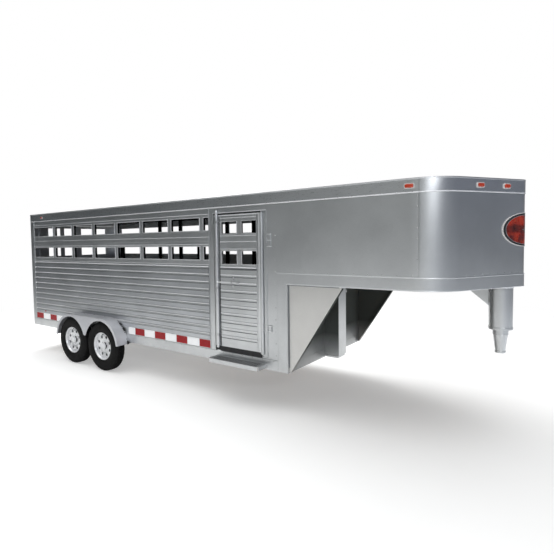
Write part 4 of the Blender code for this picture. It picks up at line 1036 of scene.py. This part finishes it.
def slat_pieces(prefix, label, paint, body, face, start, end, turn, caps=None):
    """Pressed slats along a face, each with a rolled edge in near-white edge paint, a painted highlight,
    over a groove strip of painted shadow.

    When caps is a wall's frame, every rolled edge gets a square cap at its rear end, in the same painted
    highlight."""
    for name, material, outline, trim in ((label, paint, SLAT, 0.0),
                                          ("slat_edge_highlights", EDGE, SLAT_EDGE, 0.0005),
                                          ("slat_groove_shadows", GROOVE_SHADOW, SLAT_GROOVE, 0.001)):
        shape = Shape()
        for bottom in SLATS:
            section = [(face + out, bottom + up) for out, up in outline]
            shape.prism(section, (start + trim, end - trim), turn)
            if caps is not None and outline is SLAT_EDGE:
                shape.box(CAP_LENGTH, (bottom + 0.066, bottom + 0.093), proud(0.015), 0.003, caps)
        shape.done(f"{prefix}_{name}", material, body)


def along_wall(side):
    """Frame for a section drawn as (distance out, height) and drawn out along X."""
    return Matrix(((0, 0, 1), (side, 0, 0), (0, 1, 0))).to_4x4()


def make_slats():
    for side_name, side in SIDES.items():
        end = 4.5015 if side == RIGHT else 5.3865
        slat_pieces(side_name, "pressed_slats", SHADED_SLATS, "trailer", WALL_FACE, at(0.1235), at(end),
                    along_wall(side), wall_place(side))
    slat_pieces("side_door", "slats", SILVER, "side_door", DOOR_FACE - 0.0015, at(4.702), at(5.258),
                along_wall(RIGHT))
    turn = Matrix.Translation((at(-0.003), 0, 0)) @ Matrix(((-1, 0, 0), (0, 0, -1), (0, 1, 0))).to_4x4()
    slat_pieces("rear_gate", "slats", SHADED_SLATS, "rear_gate", 0.0, -0.862, -0.053, turn)


# ------------------------------------------------------------------ side door

DOOR_ROD = (at(4.66), -1.042)
STILE_SECTION = [(5.264, 1.019), (5.264, 1.022), (5.268, 1.0262), (5.276, 1.0292), (5.288, 1.0302),
                 (5.301, 1.0302), (5.309, 1.0282), (5.314, 1.024), (5.315, 1.019)]
HASP_LOOP = ((1.464, 1.03), (1.464, 1.056), (1.47, 1.064), (1.506, 1.064), (1.512, 1.056),
             (1.512, 1.03))
HINGE_PLATES = ((0.93, 1.01), (1.925, 2.085))


def make_door_panel():
    place = wall_place(RIGHT)
    trims = Shape()
    for span in ((4.727, 4.964), (5.042, 5.261)):
        for row in ((1.717, 1.88), (2.095, 2.245)):
            trims.rim(span + row, (0.012, 0.009), (0.001, 0.005), proud(0.0027, DOOR_FACE), place)
    for z in (1.996, 2.07, 1.905, 2.29):
        trims.box((4.7, 5.26), (z - 0.004, z + 0.004), proud(0.0045, DOOR_FACE), 0.002, place)
    trims.box((4.606, 5.313), (2.318, 2.331), proud(0.005, DOOR_FACE), 0.003, place)
    # the trims are in the near-white edge paint: painted highlight
    trims.done("side_door_trims", EDGE, "side_door", "silver_paint")
    stile = Shape()
    upright = Matrix(((1, 0, 0), (0, -1, 0), (0, 0, 1))).to_4x4()
    stile.prism([(at(x), y) for x, y in STILE_SECTION], (0.67, 2.317), upright)
    stile.done("side_door_stile", SILVER, "side_door", "bright_metal")
    # the stile's bead is in the near-white edge paint: a painted highlight
    boxes("side_door_stile_bead", EDGE, place,
          [((5.2985, 5.3065), (0.672, 2.315), (1.029, 1.0316), 0.001)], "side_door")
    # a black strip of painted shadow beside the lock rod
    boxes("side_door_shadow_line", BLACK, place,
          [((4.685, 4.6965), (0.672, 2.317), proud(0.002, DOOR_FACE), 0.001)], "side_door")
    boxes("side_door_sweep", BLACK, place,
          [((4.605, 5.314), (0.64, 0.668), proud(0.0033, DOOR_FACE), 0.002)], "side_door")


def make_door_lock():
    place = wall_place(RIGHT)
    sleeve = Shape()
    x, y = DOOR_ROD
    for low, high in ((0.653, 0.796), (0.834, 1.396), (1.434, 1.474), (1.502, 2.226), (2.264, 2.348)):
        sleeve.rod((x, y, low), (x, y, high), 0.0195, 24, bevel=0.0025)
    sleeve.rod((x, y, 2.347), (x, y, 2.366), 0.0185, 24, bevel=0.003)
    sleeve.rod((x, y, 2.364), (x, y, 2.39), 0.014, 24, 0.01, bevel=0.003)
    sleeve.box((at(4.96), at(5.006)), (y - 0.01, y + 0.003), (1.474, 1.502), 0.004)
    sleeve.done("side_door_lock_sleeve", LIT_TRIM, "side_door_lock")
    hasp = Shape()
    for span in ((1.43, 1.47), (1.506, 1.56)):
        hasp.box((4.886, 4.92), span, (1.024, 1.031), 0.002, place)
    for z in (1.44, 1.55):
        hasp.dome(place @ Vector((4.903, z, 1.0308)), (0, -1, 0), 0.0055, 0.003, 10)
    hasp.tube([Vector((4.903, z, out)) for z, out in HASP_LOOP], 0.0042, 10, place)
    hasp.done("side_door_hasp", BRIGHT, "side_door")


def make_door_frame():
    place = wall_place(RIGHT)
    boxes("side_door_jambs", SILVER, place, [
        ((5.321, 5.3852), (0.6225, 2.34), (0.998, 1.0096), 0.0015),
        ((5.363, 5.3935), (0.6225, 2.34), (1.005, 1.0205), 0.0025),
        ((4.578, 4.5965), (0.6225, 2.342), (1.005, 1.0235), 0.003)])
    boxes("side_door_gaskets", BLACK, place, [
        ((4.5975, 5.32), (0.6035, 0.638), (1.008, 1.0205), 0.003),
        ((4.5975, 5.32), (2.3335, 2.351), (1.008, 1.0195), 0.002)])
    boxes("side_door_keepers", BRIGHT, place, [
        ((4.63, 4.69), (z - 0.008, z + 0.008), (1.0155, 1.03), 0.002) for z in (0.609, 2.356)])
    # the hinge fingers are in the near-white edge paint: painted highlight
    boxes("side_door_hinge_fingers", EDGE, place, [
        ((5.412, 5.47), (z - 0.0035, z + 0.0035), (1.0196, 1.0325), 0.0015)
        for z in (1.933, 2.005, 2.077, 0.938, 1.002)])
    bolts = Shape()
    for low, high in HINGE_PLATES:
        middle = (low + high) / 2
        for z in (low + 0.016, high - 0.016):
            bolts.rod((5.4465, z, 1.029), (5.4465, z, 1.0355), 0.006, 6, bevel=0.001, matrix=place)
        bolts.box((5.395, 5.41), (middle - 0.03, middle + 0.03), (1.0196, 1.03), 0.002, place)
    bolts.done("side_door_hinge_bolts", LIT_TRIM)


# ------------------------------------------------------------------ fenders and step

FENDER_BOLT = (0.0085, 0.005, 12)        # radius, height and segments
FENDER_SKIN, FENDER_BOLT_LINE, FENDER_EDGE = 0.4405, 1.04, 1.233
STEP_TOP = 0.5405


def make_fender_fittings():
    """The rolled outer edge, the row of bolts along the wall and three rubber stops in front."""
    rear, front = (at(s) for s in WHEEL_PLACES.values())
    for side_name, side in SIDES.items():
        trim, bolts = Shape(), Shape()
        line = [arc((x, WHEEL_RADIUS), 0.4408, start, end, 16)
                for x, start, end in ((rear, 171, 90), (front, 90, 9))]
        trim.tube([Vector((x, side * FENDER_EDGE, z)) for x, z in line[0] + line[1]], 0.0042, 10)
        trim.done(side_name + "_fender_roll", SILVER)
        for x, angles in ((front, (60, 46, 32, 18)), (rear, (120, 136, 152))):
            hub = Vector((x, side * FENDER_BOLT_LINE, WHEEL_RADIUS))
            for angle in angles:
                u, v = polar(1.0, math.radians(angle))
                bolts.dome(hub + Vector((u, 0, v)) * FENDER_SKIN, (u, 0, v), *FENDER_BOLT)
        for share in (0.15, 0.5, 0.85):
            spot = (rear + (front - rear) * share, side * FENDER_BOLT_LINE, WHEEL_RADIUS + 0.4402)
            bolts.dome(spot, (0, 0, 1), *FENDER_BOLT)
        for angle in (53, 39, 11):
            turn = Matrix.Rotation(math.radians(-angle), 4, "Y")
            place = Matrix.Translation((front, side * 1.034, WHEEL_RADIUS)) @ turn
            bolts.prism(rounded(0.01, 0.028, 0.004, 3, (0.4435, 0)), (-0.03, 0.03), place)
        bolts.done(side_name + "_fender_bolts", BLACK)


def make_step_tread():
    grip = Shape()
    for i in range(5):
        y = -1.055 - 0.03 * i
        grip.box((at(4.66), at(5.335)), (y - 0.005, y + 0.005), (STEP_TOP, STEP_TOP + 0.004), 0.0015)
    for i in range(14):
        x = at(4.69 + 0.0475 * i)
        grip.box((x - 0.004, x + 0.004), (-1.182, -1.048), (STEP_TOP, STEP_TOP + 0.0027), 0.001)
    grip.done("step_grip", STEEL)


# ------------------------------------------------------------------ coupler, jack and running gear

COUPLER_X = at(7.64)
JACK_X = at(5.778)
CRANK_X, CRANK_Z, CRANK_THROW = at(5.856), 1.325, 0.129
COLLARS = ([(0.1095, 1.04), (0.113, 1.041), (0.114, 1.044), (0.114, 1.064), (0.1125, 1.067),
            (0.1095, 1.068)],
           [(0.1095, 1.472), (0.112, 1.474), (0.116, 1.496), (0.115, 1.4975), (0.1095, 1.4975)])
RINGS = ([(0.0455, 0.8), (0.048, 0.7905), (0.05, 0.7915), (0.052, 0.808), (0.0505, 0.814),
          (0.0475, 0.815)],
         [(0.069, 0.985), (0.0728, 0.985), (0.074, 0.987), (0.074, 0.99), (0.0728, 0.992),
          (0.069, 0.992)])
GRIP = [(0.0112, 0.168), (0.015, 0.17), (0.0165, 0.176), (0.015, 0.183), (0.0162, 0.19),
        (0.015, 0.197), (0.0162, 0.204), (0.015, 0.211), (0.0162, 0.218), (0.015, 0.225),
        (0.0165, 0.232), (0.0165, 0.258), (0.015, 0.264), (0.0112, 0.266)]
CRANK_BOSS = [(0.0135, 0.11), (0.03, 0.11), (0.03, 0.116), (0.027, 0.119), (0.022, 0.12),
              (0.0215, 0.127), (0.0135, 0.128)]


def turned(name, material, profiles, place, segments, body="trailer"):
    """One piece of profiles turned about the Z of a place."""
    shape = Shape()
    for profile in profiles:
        shape.turn(profile, place, segments)
    shape.done(name, material, body)


def make_coupler_fittings():
    upright = Matrix.Translation((COUPLER_X, 0, 0))
    turned("coupler_collars", SILVER, COLLARS, upright, 48)
    turned("coupler_rings", SILVER, RINGS, upright, 40, "coupler_inner_tube")
    bolts = Shape()
    for z in (1.12, 1.22):
        for angle in (60, 110):
            out = Vector((*polar(1.0, math.radians(angle)), 0))
            base = Vector((COUPLER_X, 0, z)) + out * 0.109
            bolts.rod(base, base + out * 0.009, 0.014, 6, bevel=0.001)
            bolts.rod(base, base + out * 0.026, 0.0075, 14, bevel=0.001)
    bolts.done("coupler_set_screws", BRIGHT)
    loops, welds = Shape(), Shape()
    rise = Vector((0, 0, 0.02))
    for side in SIDES.values():
        points = [Vector((at(7.56), side * (0.15 + 0.03 * math.cos(a)), 1.49 - 0.042 * math.sin(a)))
                  for a in (math.pi * i / 12 for i in range(13))]
        loops.tube([points[0] + rise] + points + [points[-1] + rise], 0.007, 12)
        seam = [Vector((COUPLER_X - 0.1105, side * 0.0085, z)) for z in (1.292, 1.36, 1.43, 1.496)]
        welds.tube(seam, 0.004, 8)
    loops.done("safety_chain_loops", STEEL)
    welds.done("brace_welds", SILVER)


def make_jack_fittings():
    turn = Matrix.Rotation(math.radians(-90), 4, "X")
    turned("jack_crank_grip", BLACK, [GRIP],
           Matrix.Translation((CRANK_X, 0, CRANK_Z + CRANK_THROW)) @ turn, 28, "jack_crank")
    turned("jack_crank_boss", BRIGHT, [CRANK_BOSS], Matrix.Translation((CRANK_X, 0, CRANK_Z)) @ turn, 28)
    plates = Shape()
    plates.box((at(5.681), at(5.875)), (-0.1125, 0.1125), (1.47, 1.505), 0.003)
    plates.box((at(5.681), at(5.875)), (-0.1118, -0.1095), (0.52, 0.56), 0.001)
    for z in (0.7, 0.95, 1.2):
        plates.dome((at(5.76), -0.11, z), (0, -1, 0), 0.007, 0.0035, 10)
    plates.done("jack_plates", SILVER)
    foot = Shape()
    foot.loop_prism(rounded(0.176, 0.206, 0.014, 4), rounded(0.15, 0.18, 0.01, 4), (0.4985, 0.5045),
                    Matrix.Translation((JACK_X, 0, 0)))
    for sx, sy in ((1, 1), (1, -1), (-1, 1), (-1, -1)):
        x, y = JACK_X + sx * 0.066, sy * 0.078
        foot.rod((x, y, 0.499), (x, y, 0.506), 0.007, 6, bevel=0.001)
    foot.done("jack_foot_trim", BRIGHT, "jack_drop_leg")
    ring = Shape()
    ring.tube([Vector((JACK_X, 0.14 + 0.014 * math.sin(a), 0.54 + 0.02 * math.cos(a)))
               for a in (math.tau * i / 20 for i in range(20))], 0.0022, 8)
    ring.done("jack_pin_ring", BRIGHT, "jack_pin")


def make_axle_fittings():
    """Four bolts through each end of a torsion axle's mount."""
    for axle in WHEEL_PLACES:
        low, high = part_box(axle + "_axle_tube")
        middle = (low.x + high.x) / 2
        bolts = Shape()
        for side in SIDES.values():
            for x in (middle - 0.045, middle + 0.045):
                for y in (side * 0.905, side * 0.935):
                    bolts.rod((x, y, low.z - 0.004), (x, y, low.z + 0.01), 0.0095, 6, bevel=0.001)
        bolts.done(axle + "_axle_bolts", BRIGHT)


# ------------------------------------------------------------------ rear gate and inside

GATE_RIM, OPENING_RIM = (0.014, 0.01), (0.001, 0.006)         # margin and corner of each rim's edges
ROSE = [(0.0112, -0.002), (0.024, -0.002), (0.024, 0.001), (0.0215, 0.003), (0.0112, 0.003)]
GATE_ROD = (at(-0.024), -0.87)
CEILING_LIGHT = [(0.0, 2.5455), (0.09, 2.5455), (0.09, 2.538), (0.082, 2.53), (0.05, 2.522),
                 (0.0, 2.52)]


def gate_place(face):
    """Frame on a rear-facing surface: X is the trailer's +Y reversed, Y is up, Z is rearward."""
    turn = Matrix(((0, 0, -1), (-1, 0, 0), (0, 1, 0))).to_4x4()
    return Matrix.Translation((at(face), 0, 0)) @ turn


def make_gate():
    place, face = gate_place(-0.0035), gate_place(0.04)
    trims = Shape()
    for row in ROWS:
        for span in ((-0.66, -0.375), (-0.325, -0.04)):
            trims.rim(span + row, GATE_RIM, OPENING_RIM, proud(0.0032, 0), place)
    trims.rim((0.04, 0.82, 0.7, 2.316), (0.026, 0.014), (0.001, 0.004), proud(0.004, 0), place)
    for span in ((2.336, 2.356), (0.629, 0.648)):
        trims.box((-0.918, 0.918), span, proud(0.0045, 0), 0.003, place)
    trims.done("rear_gate_trims", SILVER, "rear_gate")
    heads = Shape()
    for i in range(13):
        for z in (2.346, 0.67):
            heads.dome(place @ Vector((-0.84 + 0.14 * i, z, 0.0)), (-1, 0, 0))
    heads.done("rear_gate_rivets", BRIGHT, "rear_gate")
    inner = Shape()
    for row in ROWS:
        for span in ((0.14, 0.36), (0.44, 0.7)):
            inner.rim(span + row, GATE_RIM, OPENING_RIM, proud(0.003, 0), face)
    inner.done("rear_slider_trims", SILVER, "rear_slider")
    turn = Matrix.Rotation(math.radians(-90), 4, "Y")
    turned("rear_slider_rose", LIT_TRIM, [ROSE],
           Matrix.Translation((at(0.0375), -0.79, 1.6)) @ turn, 24, "rear_slider")
    rod = Shape()
    x, y = GATE_ROD
    rod.box((x - 0.0075, x + 0.0075), (y + 0.23, y + 0.334), (1.448, 1.476), 0.005)
    for z in (0.7, 0.9, 1.3, 1.7, 2.1):
        rod.rod((x, y, z), (x, y, z + 0.012), 0.0125, 20, bevel=0.002)
    rod.done("rear_gate_lock_trim", LIT_TRIM, "rear_gate_lock")
    centres = [-0.8 + 0.32 * i for i in range(6)]
    boxes("dock_bumpers", BLACK, gate_place(0.0),
          [((y - 0.055, y + 0.055), (0.5, 0.58), (0.0004, 0.026), 0.006) for y in centres])


def make_inside():
    """Cleats over the floor boards, clear of the centre gate, and two lights under the roof."""
    cleats = Shape()
    for i in range(7):
        x = at(0.42 + 0.7 * i)
        if abs(x - at(2.592)) < 0.06:
            continue
        cleats.box((x - 0.016, x + 0.016), (-0.93, 0.93), (0.6195, 0.6275), 0.003)
    cleats.done("floor_cleats", STEEL)
    lights = Shape()
    for station in (1.7, 4.4):
        lights.turn(CEILING_LIGHT, Matrix.Translation((at(station), 0, 0)), 32)
    lights.done("ceiling_lights", BEZEL)


def make_roof():
    """Lap seams, rivets and two low vents on the roof sheet."""
    seams = Shape()
    half, count = 0.968, 16
    for i in range(11):
        x = at(0.62 + 0.6 * i)
        seams.box((x - 0.018, x + 0.018), (-half, half), (ROOF_TOP - 0.001, ROOF_TOP + 0.0018), 0.0008)
        for k in range(count + 1):
            y = -half + 0.03 + k * (2 * half - 0.06) / count
            seams.dome((x, y, ROOF_TOP + 0.0016), (0, 0, 1), 0.005, 0.002)
    seams.done("roof_seams", UPPER_SHADED)
    vents = Shape()
    for station in (1.82, 4.22):
        place = Matrix.Translation((at(station), 0, 0))
        vents.prism(rounded(0.46, 0.36, 0.03), (ROOF_TOP - 0.001, ROOF_TOP + 0.003), place)
        vents.prism(rounded(0.38, 0.28, 0.04), (ROOF_TOP + 0.002, ROOF_TOP + 0.007), place, 0.002)
    vents.done("roof_vents", UPPER_SHADED)


# ------------------------------------------------------------------ mouldings and nose


def half_round(width, thickness, steps=5):
    """A half-round section, flat side inward."""
    back = -0.0006
    curve = [math.radians(90 - 180 * i / steps) for i in range(steps + 1)]
    points = [(thickness * math.cos(a), width / 2 * math.sin(a)) for a in curve]
    return [(back, width / 2)] + points + [(back, -width / 2)]


ROOF_LIP = [(-0.048, 0.0), (-0.0015, 0.0), (0.0, 0.0015), (0.0, 0.0035), (-0.003, 0.005), (-0.046, 0.005)]
MOULDINGS = (("band_mouldings", EDGE, None, ((0.004, BAND_LOW + 0.0065, half_round(0.011, 0.003)),)),
             ("rail_mouldings", BAND, "bright_metal",
              ((0.004, BAND_HIGH - 0.006, half_round(0.01, 0.0025)),
               (5.542, NECK_HIGH - 0.006, half_round(0.01, 0.0028)),
               (5.683, NECK_LOW + 0.006, half_round(0.01, 0.0028)))),
             ("roof_edge_cap", UPPER_SHADED, None, ((0.003, BAND_HIGH - 0.0005, ROOF_LIP),)))


def make_mouldings():
    """Strips round the nose from side to side, the one along the band's bottom in near-white edge paint as
    a painted highlight; seams over the sheet joints; and dark strips of painted shadow in the gaps by the
    gussets.
    """
    for name, material, slot, strips in MOULDINGS:
        shape = Shape()
        for start, height, section in strips:
            shape.strip(nose_path(0.0, start, height), section)
        shape.done(name, material, slot=slot)
    seams, gaps = Shape(), Shape()
    band, gusset = (BAND_LOW + 0.012, BAND_HIGH - 0.012), (0.9962, 0.999)
    for side in SIDES.values():
        place = wall_place(side)
        seams.box((7.105, 7.115), (1.631, 2.422), proud(0.0017, DOOR_FACE), 0.0009, place)
        seams.box((7.105, 7.115), band, proud(0.0015, HALF_WIDTH), 0.0009, place)
        for span in ((5.545, 5.552), (5.668, 5.677)):
            seams.box(span, (0.482, 1.49), proud(0.002, HALF_WIDTH), 0.001, place)
        gaps.box((5.6745, 5.6915), (0.54, 1.4965), gusset, 0.001, place)
        gaps.box((5.6915, 6.3), (1.487, 1.4965), gusset, 0.001, place)
    seams.done("sheet_seams", SILVER)
    gaps.done("gusset_shadow_gaps", GROOVE_SHADOW)


BADGE_REACH, BADGE_RISE, BADGE_Z, BADGE_STEPS, BADGE_BACK = 0.35, 0.17, 2.068, 72, 0.0006
NOSE_LINE = nose_path(0.004, 6.0, 0.0)
NOSE_LENGTHS = [0.0]
for before, after in zip(NOSE_LINE, NOSE_LINE[1:]):
    NOSE_LENGTHS.append(NOSE_LENGTHS[-1] + (after - before).length)


def on_nose(distance, height):
    """The point round the nose at a distance left of its middle and a height off the sheet."""
    line, last = NOSE_LINE, len(NOSE_LINE) - 1
    target = NOSE_LENGTHS[len(NOSE_LENGTHS) // 2] + distance
    index = max(i for i in range(last) if NOSE_LENGTHS[i] <= target)
    along = (line[index + 1] - line[index]).normalized()
    normals = []
    for k in (index, index + 1):
        before = (line[k] - line[k - 1]).normalized()
        after = (line[min(k + 1, last)] - line[min(k, last - 1)]).normalized()
        mean = (before + after).normalized()
        normals.append(Vector((mean.y, -mean.x, 0)))
    share = (target - NOSE_LENGTHS[index]) / (NOSE_LENGTHS[index + 1] - NOSE_LENGTHS[index])
    normal = normals[0].lerp(normals[1], share).normalized()
    return line[index] + along * (target - NOSE_LENGTHS[index]) + normal * height


def badge_ring(bm, size, height):
    ring = []
    for i in range(BADGE_STEPS):
        angle = math.tau * i / BADGE_STEPS
        spot = on_nose(BADGE_REACH * size * math.cos(angle), height)
        ring.append(bm.verts.new((spot.x, spot.y, BADGE_Z + BADGE_RISE * size * math.sin(angle))))
    return ring


def badge_layer(name, outer, inner, top, material):
    """A ring of the oval between two sizes, or a disc when inner is 0."""
    bm = bmesh.new()
    levels = [(outer, BADGE_BACK), (outer, top)]
    if inner:
        levels += [(inner, top), (inner, BADGE_BACK)]
    else:
        levels += [(outer * share, top) for share in (0.75, 0.5, 0.25)]
    rings = [badge_ring(bm, size, height) for size, height in levels]
    bridge(bm, rings + rings[:1] if inner else rings)
    if not inner:
        for ring, height in ((rings[-1], top), (rings[0], BADGE_BACK)):
            spot = on_nose(0.0, height)
            hub = bm.verts.new((spot.x, spot.y, BADGE_Z))
            for i in range(BADGE_STEPS):
                bm.faces.new((hub, ring[i], ring[(i + 1) % BADGE_STEPS]))
    shape = Shape()
    shape.take(bm)
    return shape.done(name, material, slot=None if material is BADGE else "")


def make_badge():
    """A plain oval badge round the nose: bright rim, black ring and red field, with no device."""
    badge_layer("badge_rim", 1.0, 0.962, 0.0068, BEZEL)
    badge_layer("badge_ring", 0.962, 0.86, 0.0046, BLACK)
    badge_layer("badge_pinstripe", 0.86, 0.842, 0.0056, LIT_TRIM)
    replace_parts(badge_layer("badge_field", 0.842, 0.0, 0.005, BADGE), "badge")


# ------------------------------------------------------------------ lamps

LAMP_HEIGHT, REAR_LAMP_HEIGHT = 2.49, 2.492
LAMP_SIZE = (0.098, 0.052, 0.02)         # width, height and how far out the lens stands
LENS_RINGS = ((0.8, 0.22), (0.8, 0.6), (0.74, 0.82), (0.6, 0.94), (0.3, 1.0))   # size, share out


def lamp(name, place, material, size=LAMP_SIZE):
    """A lens with a rolled edge in a pale bezel, on a surface whose normal is the place's Z."""
    width, height, out = size
    bezel = Shape()
    bezel.loop_prism(rounded(width, height, height * 0.36, 6),
                     rounded(width * 0.84, height * 0.72, height * 0.26, 6), (0.0002, out * 0.42), place)
    bezel.prism(rounded(width * 0.85, height * 0.73, height * 0.26, 6), (0.0002, out * 0.2), place)
    bezel.done(name + "_bezel", BEZEL)
    glass = Shape()
    bm = bmesh.new()
    rings = []
    for share, level in LENS_RINGS:
        outline = rounded(width * share, height * (share - 0.1), height * 0.3 * share, 6)
        rings.append([bm.verts.new((u, v, out * level)) for u, v in outline])
    bridge(bm, rings, ends=True)
    glass.take(bm, place)
    return glass.done(name + "_lens", material)


def make_lamps():
    for side_name, side in SIDES.items():
        out, back = (0, side, 0), (-1, 0, 0)
        marker = lamp(side_name + "_marker", facing(at(7.02), side * HALF_WIDTH, LAMP_HEIGHT, out), AMBER)
        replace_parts(marker, side_name + "_marker_lamp")
        for label, across in (("outer", 0.578), ("inner", 0.264)):
            spot, normal = panel_point(across, side)
            name = f"{side_name}_{label}_nose"
            nose = lamp(name, facing(spot.x, spot.y, LAMP_HEIGHT, normal), AMBER)
            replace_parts(nose, name + "_lamp")
        for label, x, y, z, normal, size in (
                ("rear_side", at(0.408), HALF_WIDTH, REAR_LAMP_HEIGHT, out, (0.062, 0.036, 0.012)),
                ("side_reflector", at(0.433), WALL_FACE, 0.76, out, (0.062, 0.03, 0.011)),
                ("tail", at(0), 0.977, 1.18, back, (0.062, 0.15, 0.016)),
                ("rear_corner", at(0), 0.88, REAR_LAMP_HEIGHT, back, LAMP_SIZE)):
            lamp(f"{side_name}_{label}", facing(x, side * y, z, normal), RED_LENS, size)
    for k, y in enumerate((-0.15, 0.0, 0.15)):
        lamp(f"rear_identification_{k + 1}", facing(at(0), y, REAR_LAMP_HEIGHT, (-1, 0, 0)), RED_LENS,
             (0.075, 0.034, 0.016))


# ------------------------------------------------------------------ build

for make in (dress_nodes, make_wheels, make_slats, make_window_trims, make_door_panel, make_door_lock,
             make_door_frame, make_fender_fittings, make_step_tread, make_coupler_fittings,
             make_jack_fittings, make_axle_fittings, make_gate, make_inside, make_roof, make_wall_lines,
             make_tape, make_rivets, make_mouldings, make_badge, make_lamps, make_camera, make_world,
             make_floor):
    make()
for name, values in LIGHTS.items():
    soft_light(name, *values)
bpy.context.scene.view_settings.view_transform = "Standard"
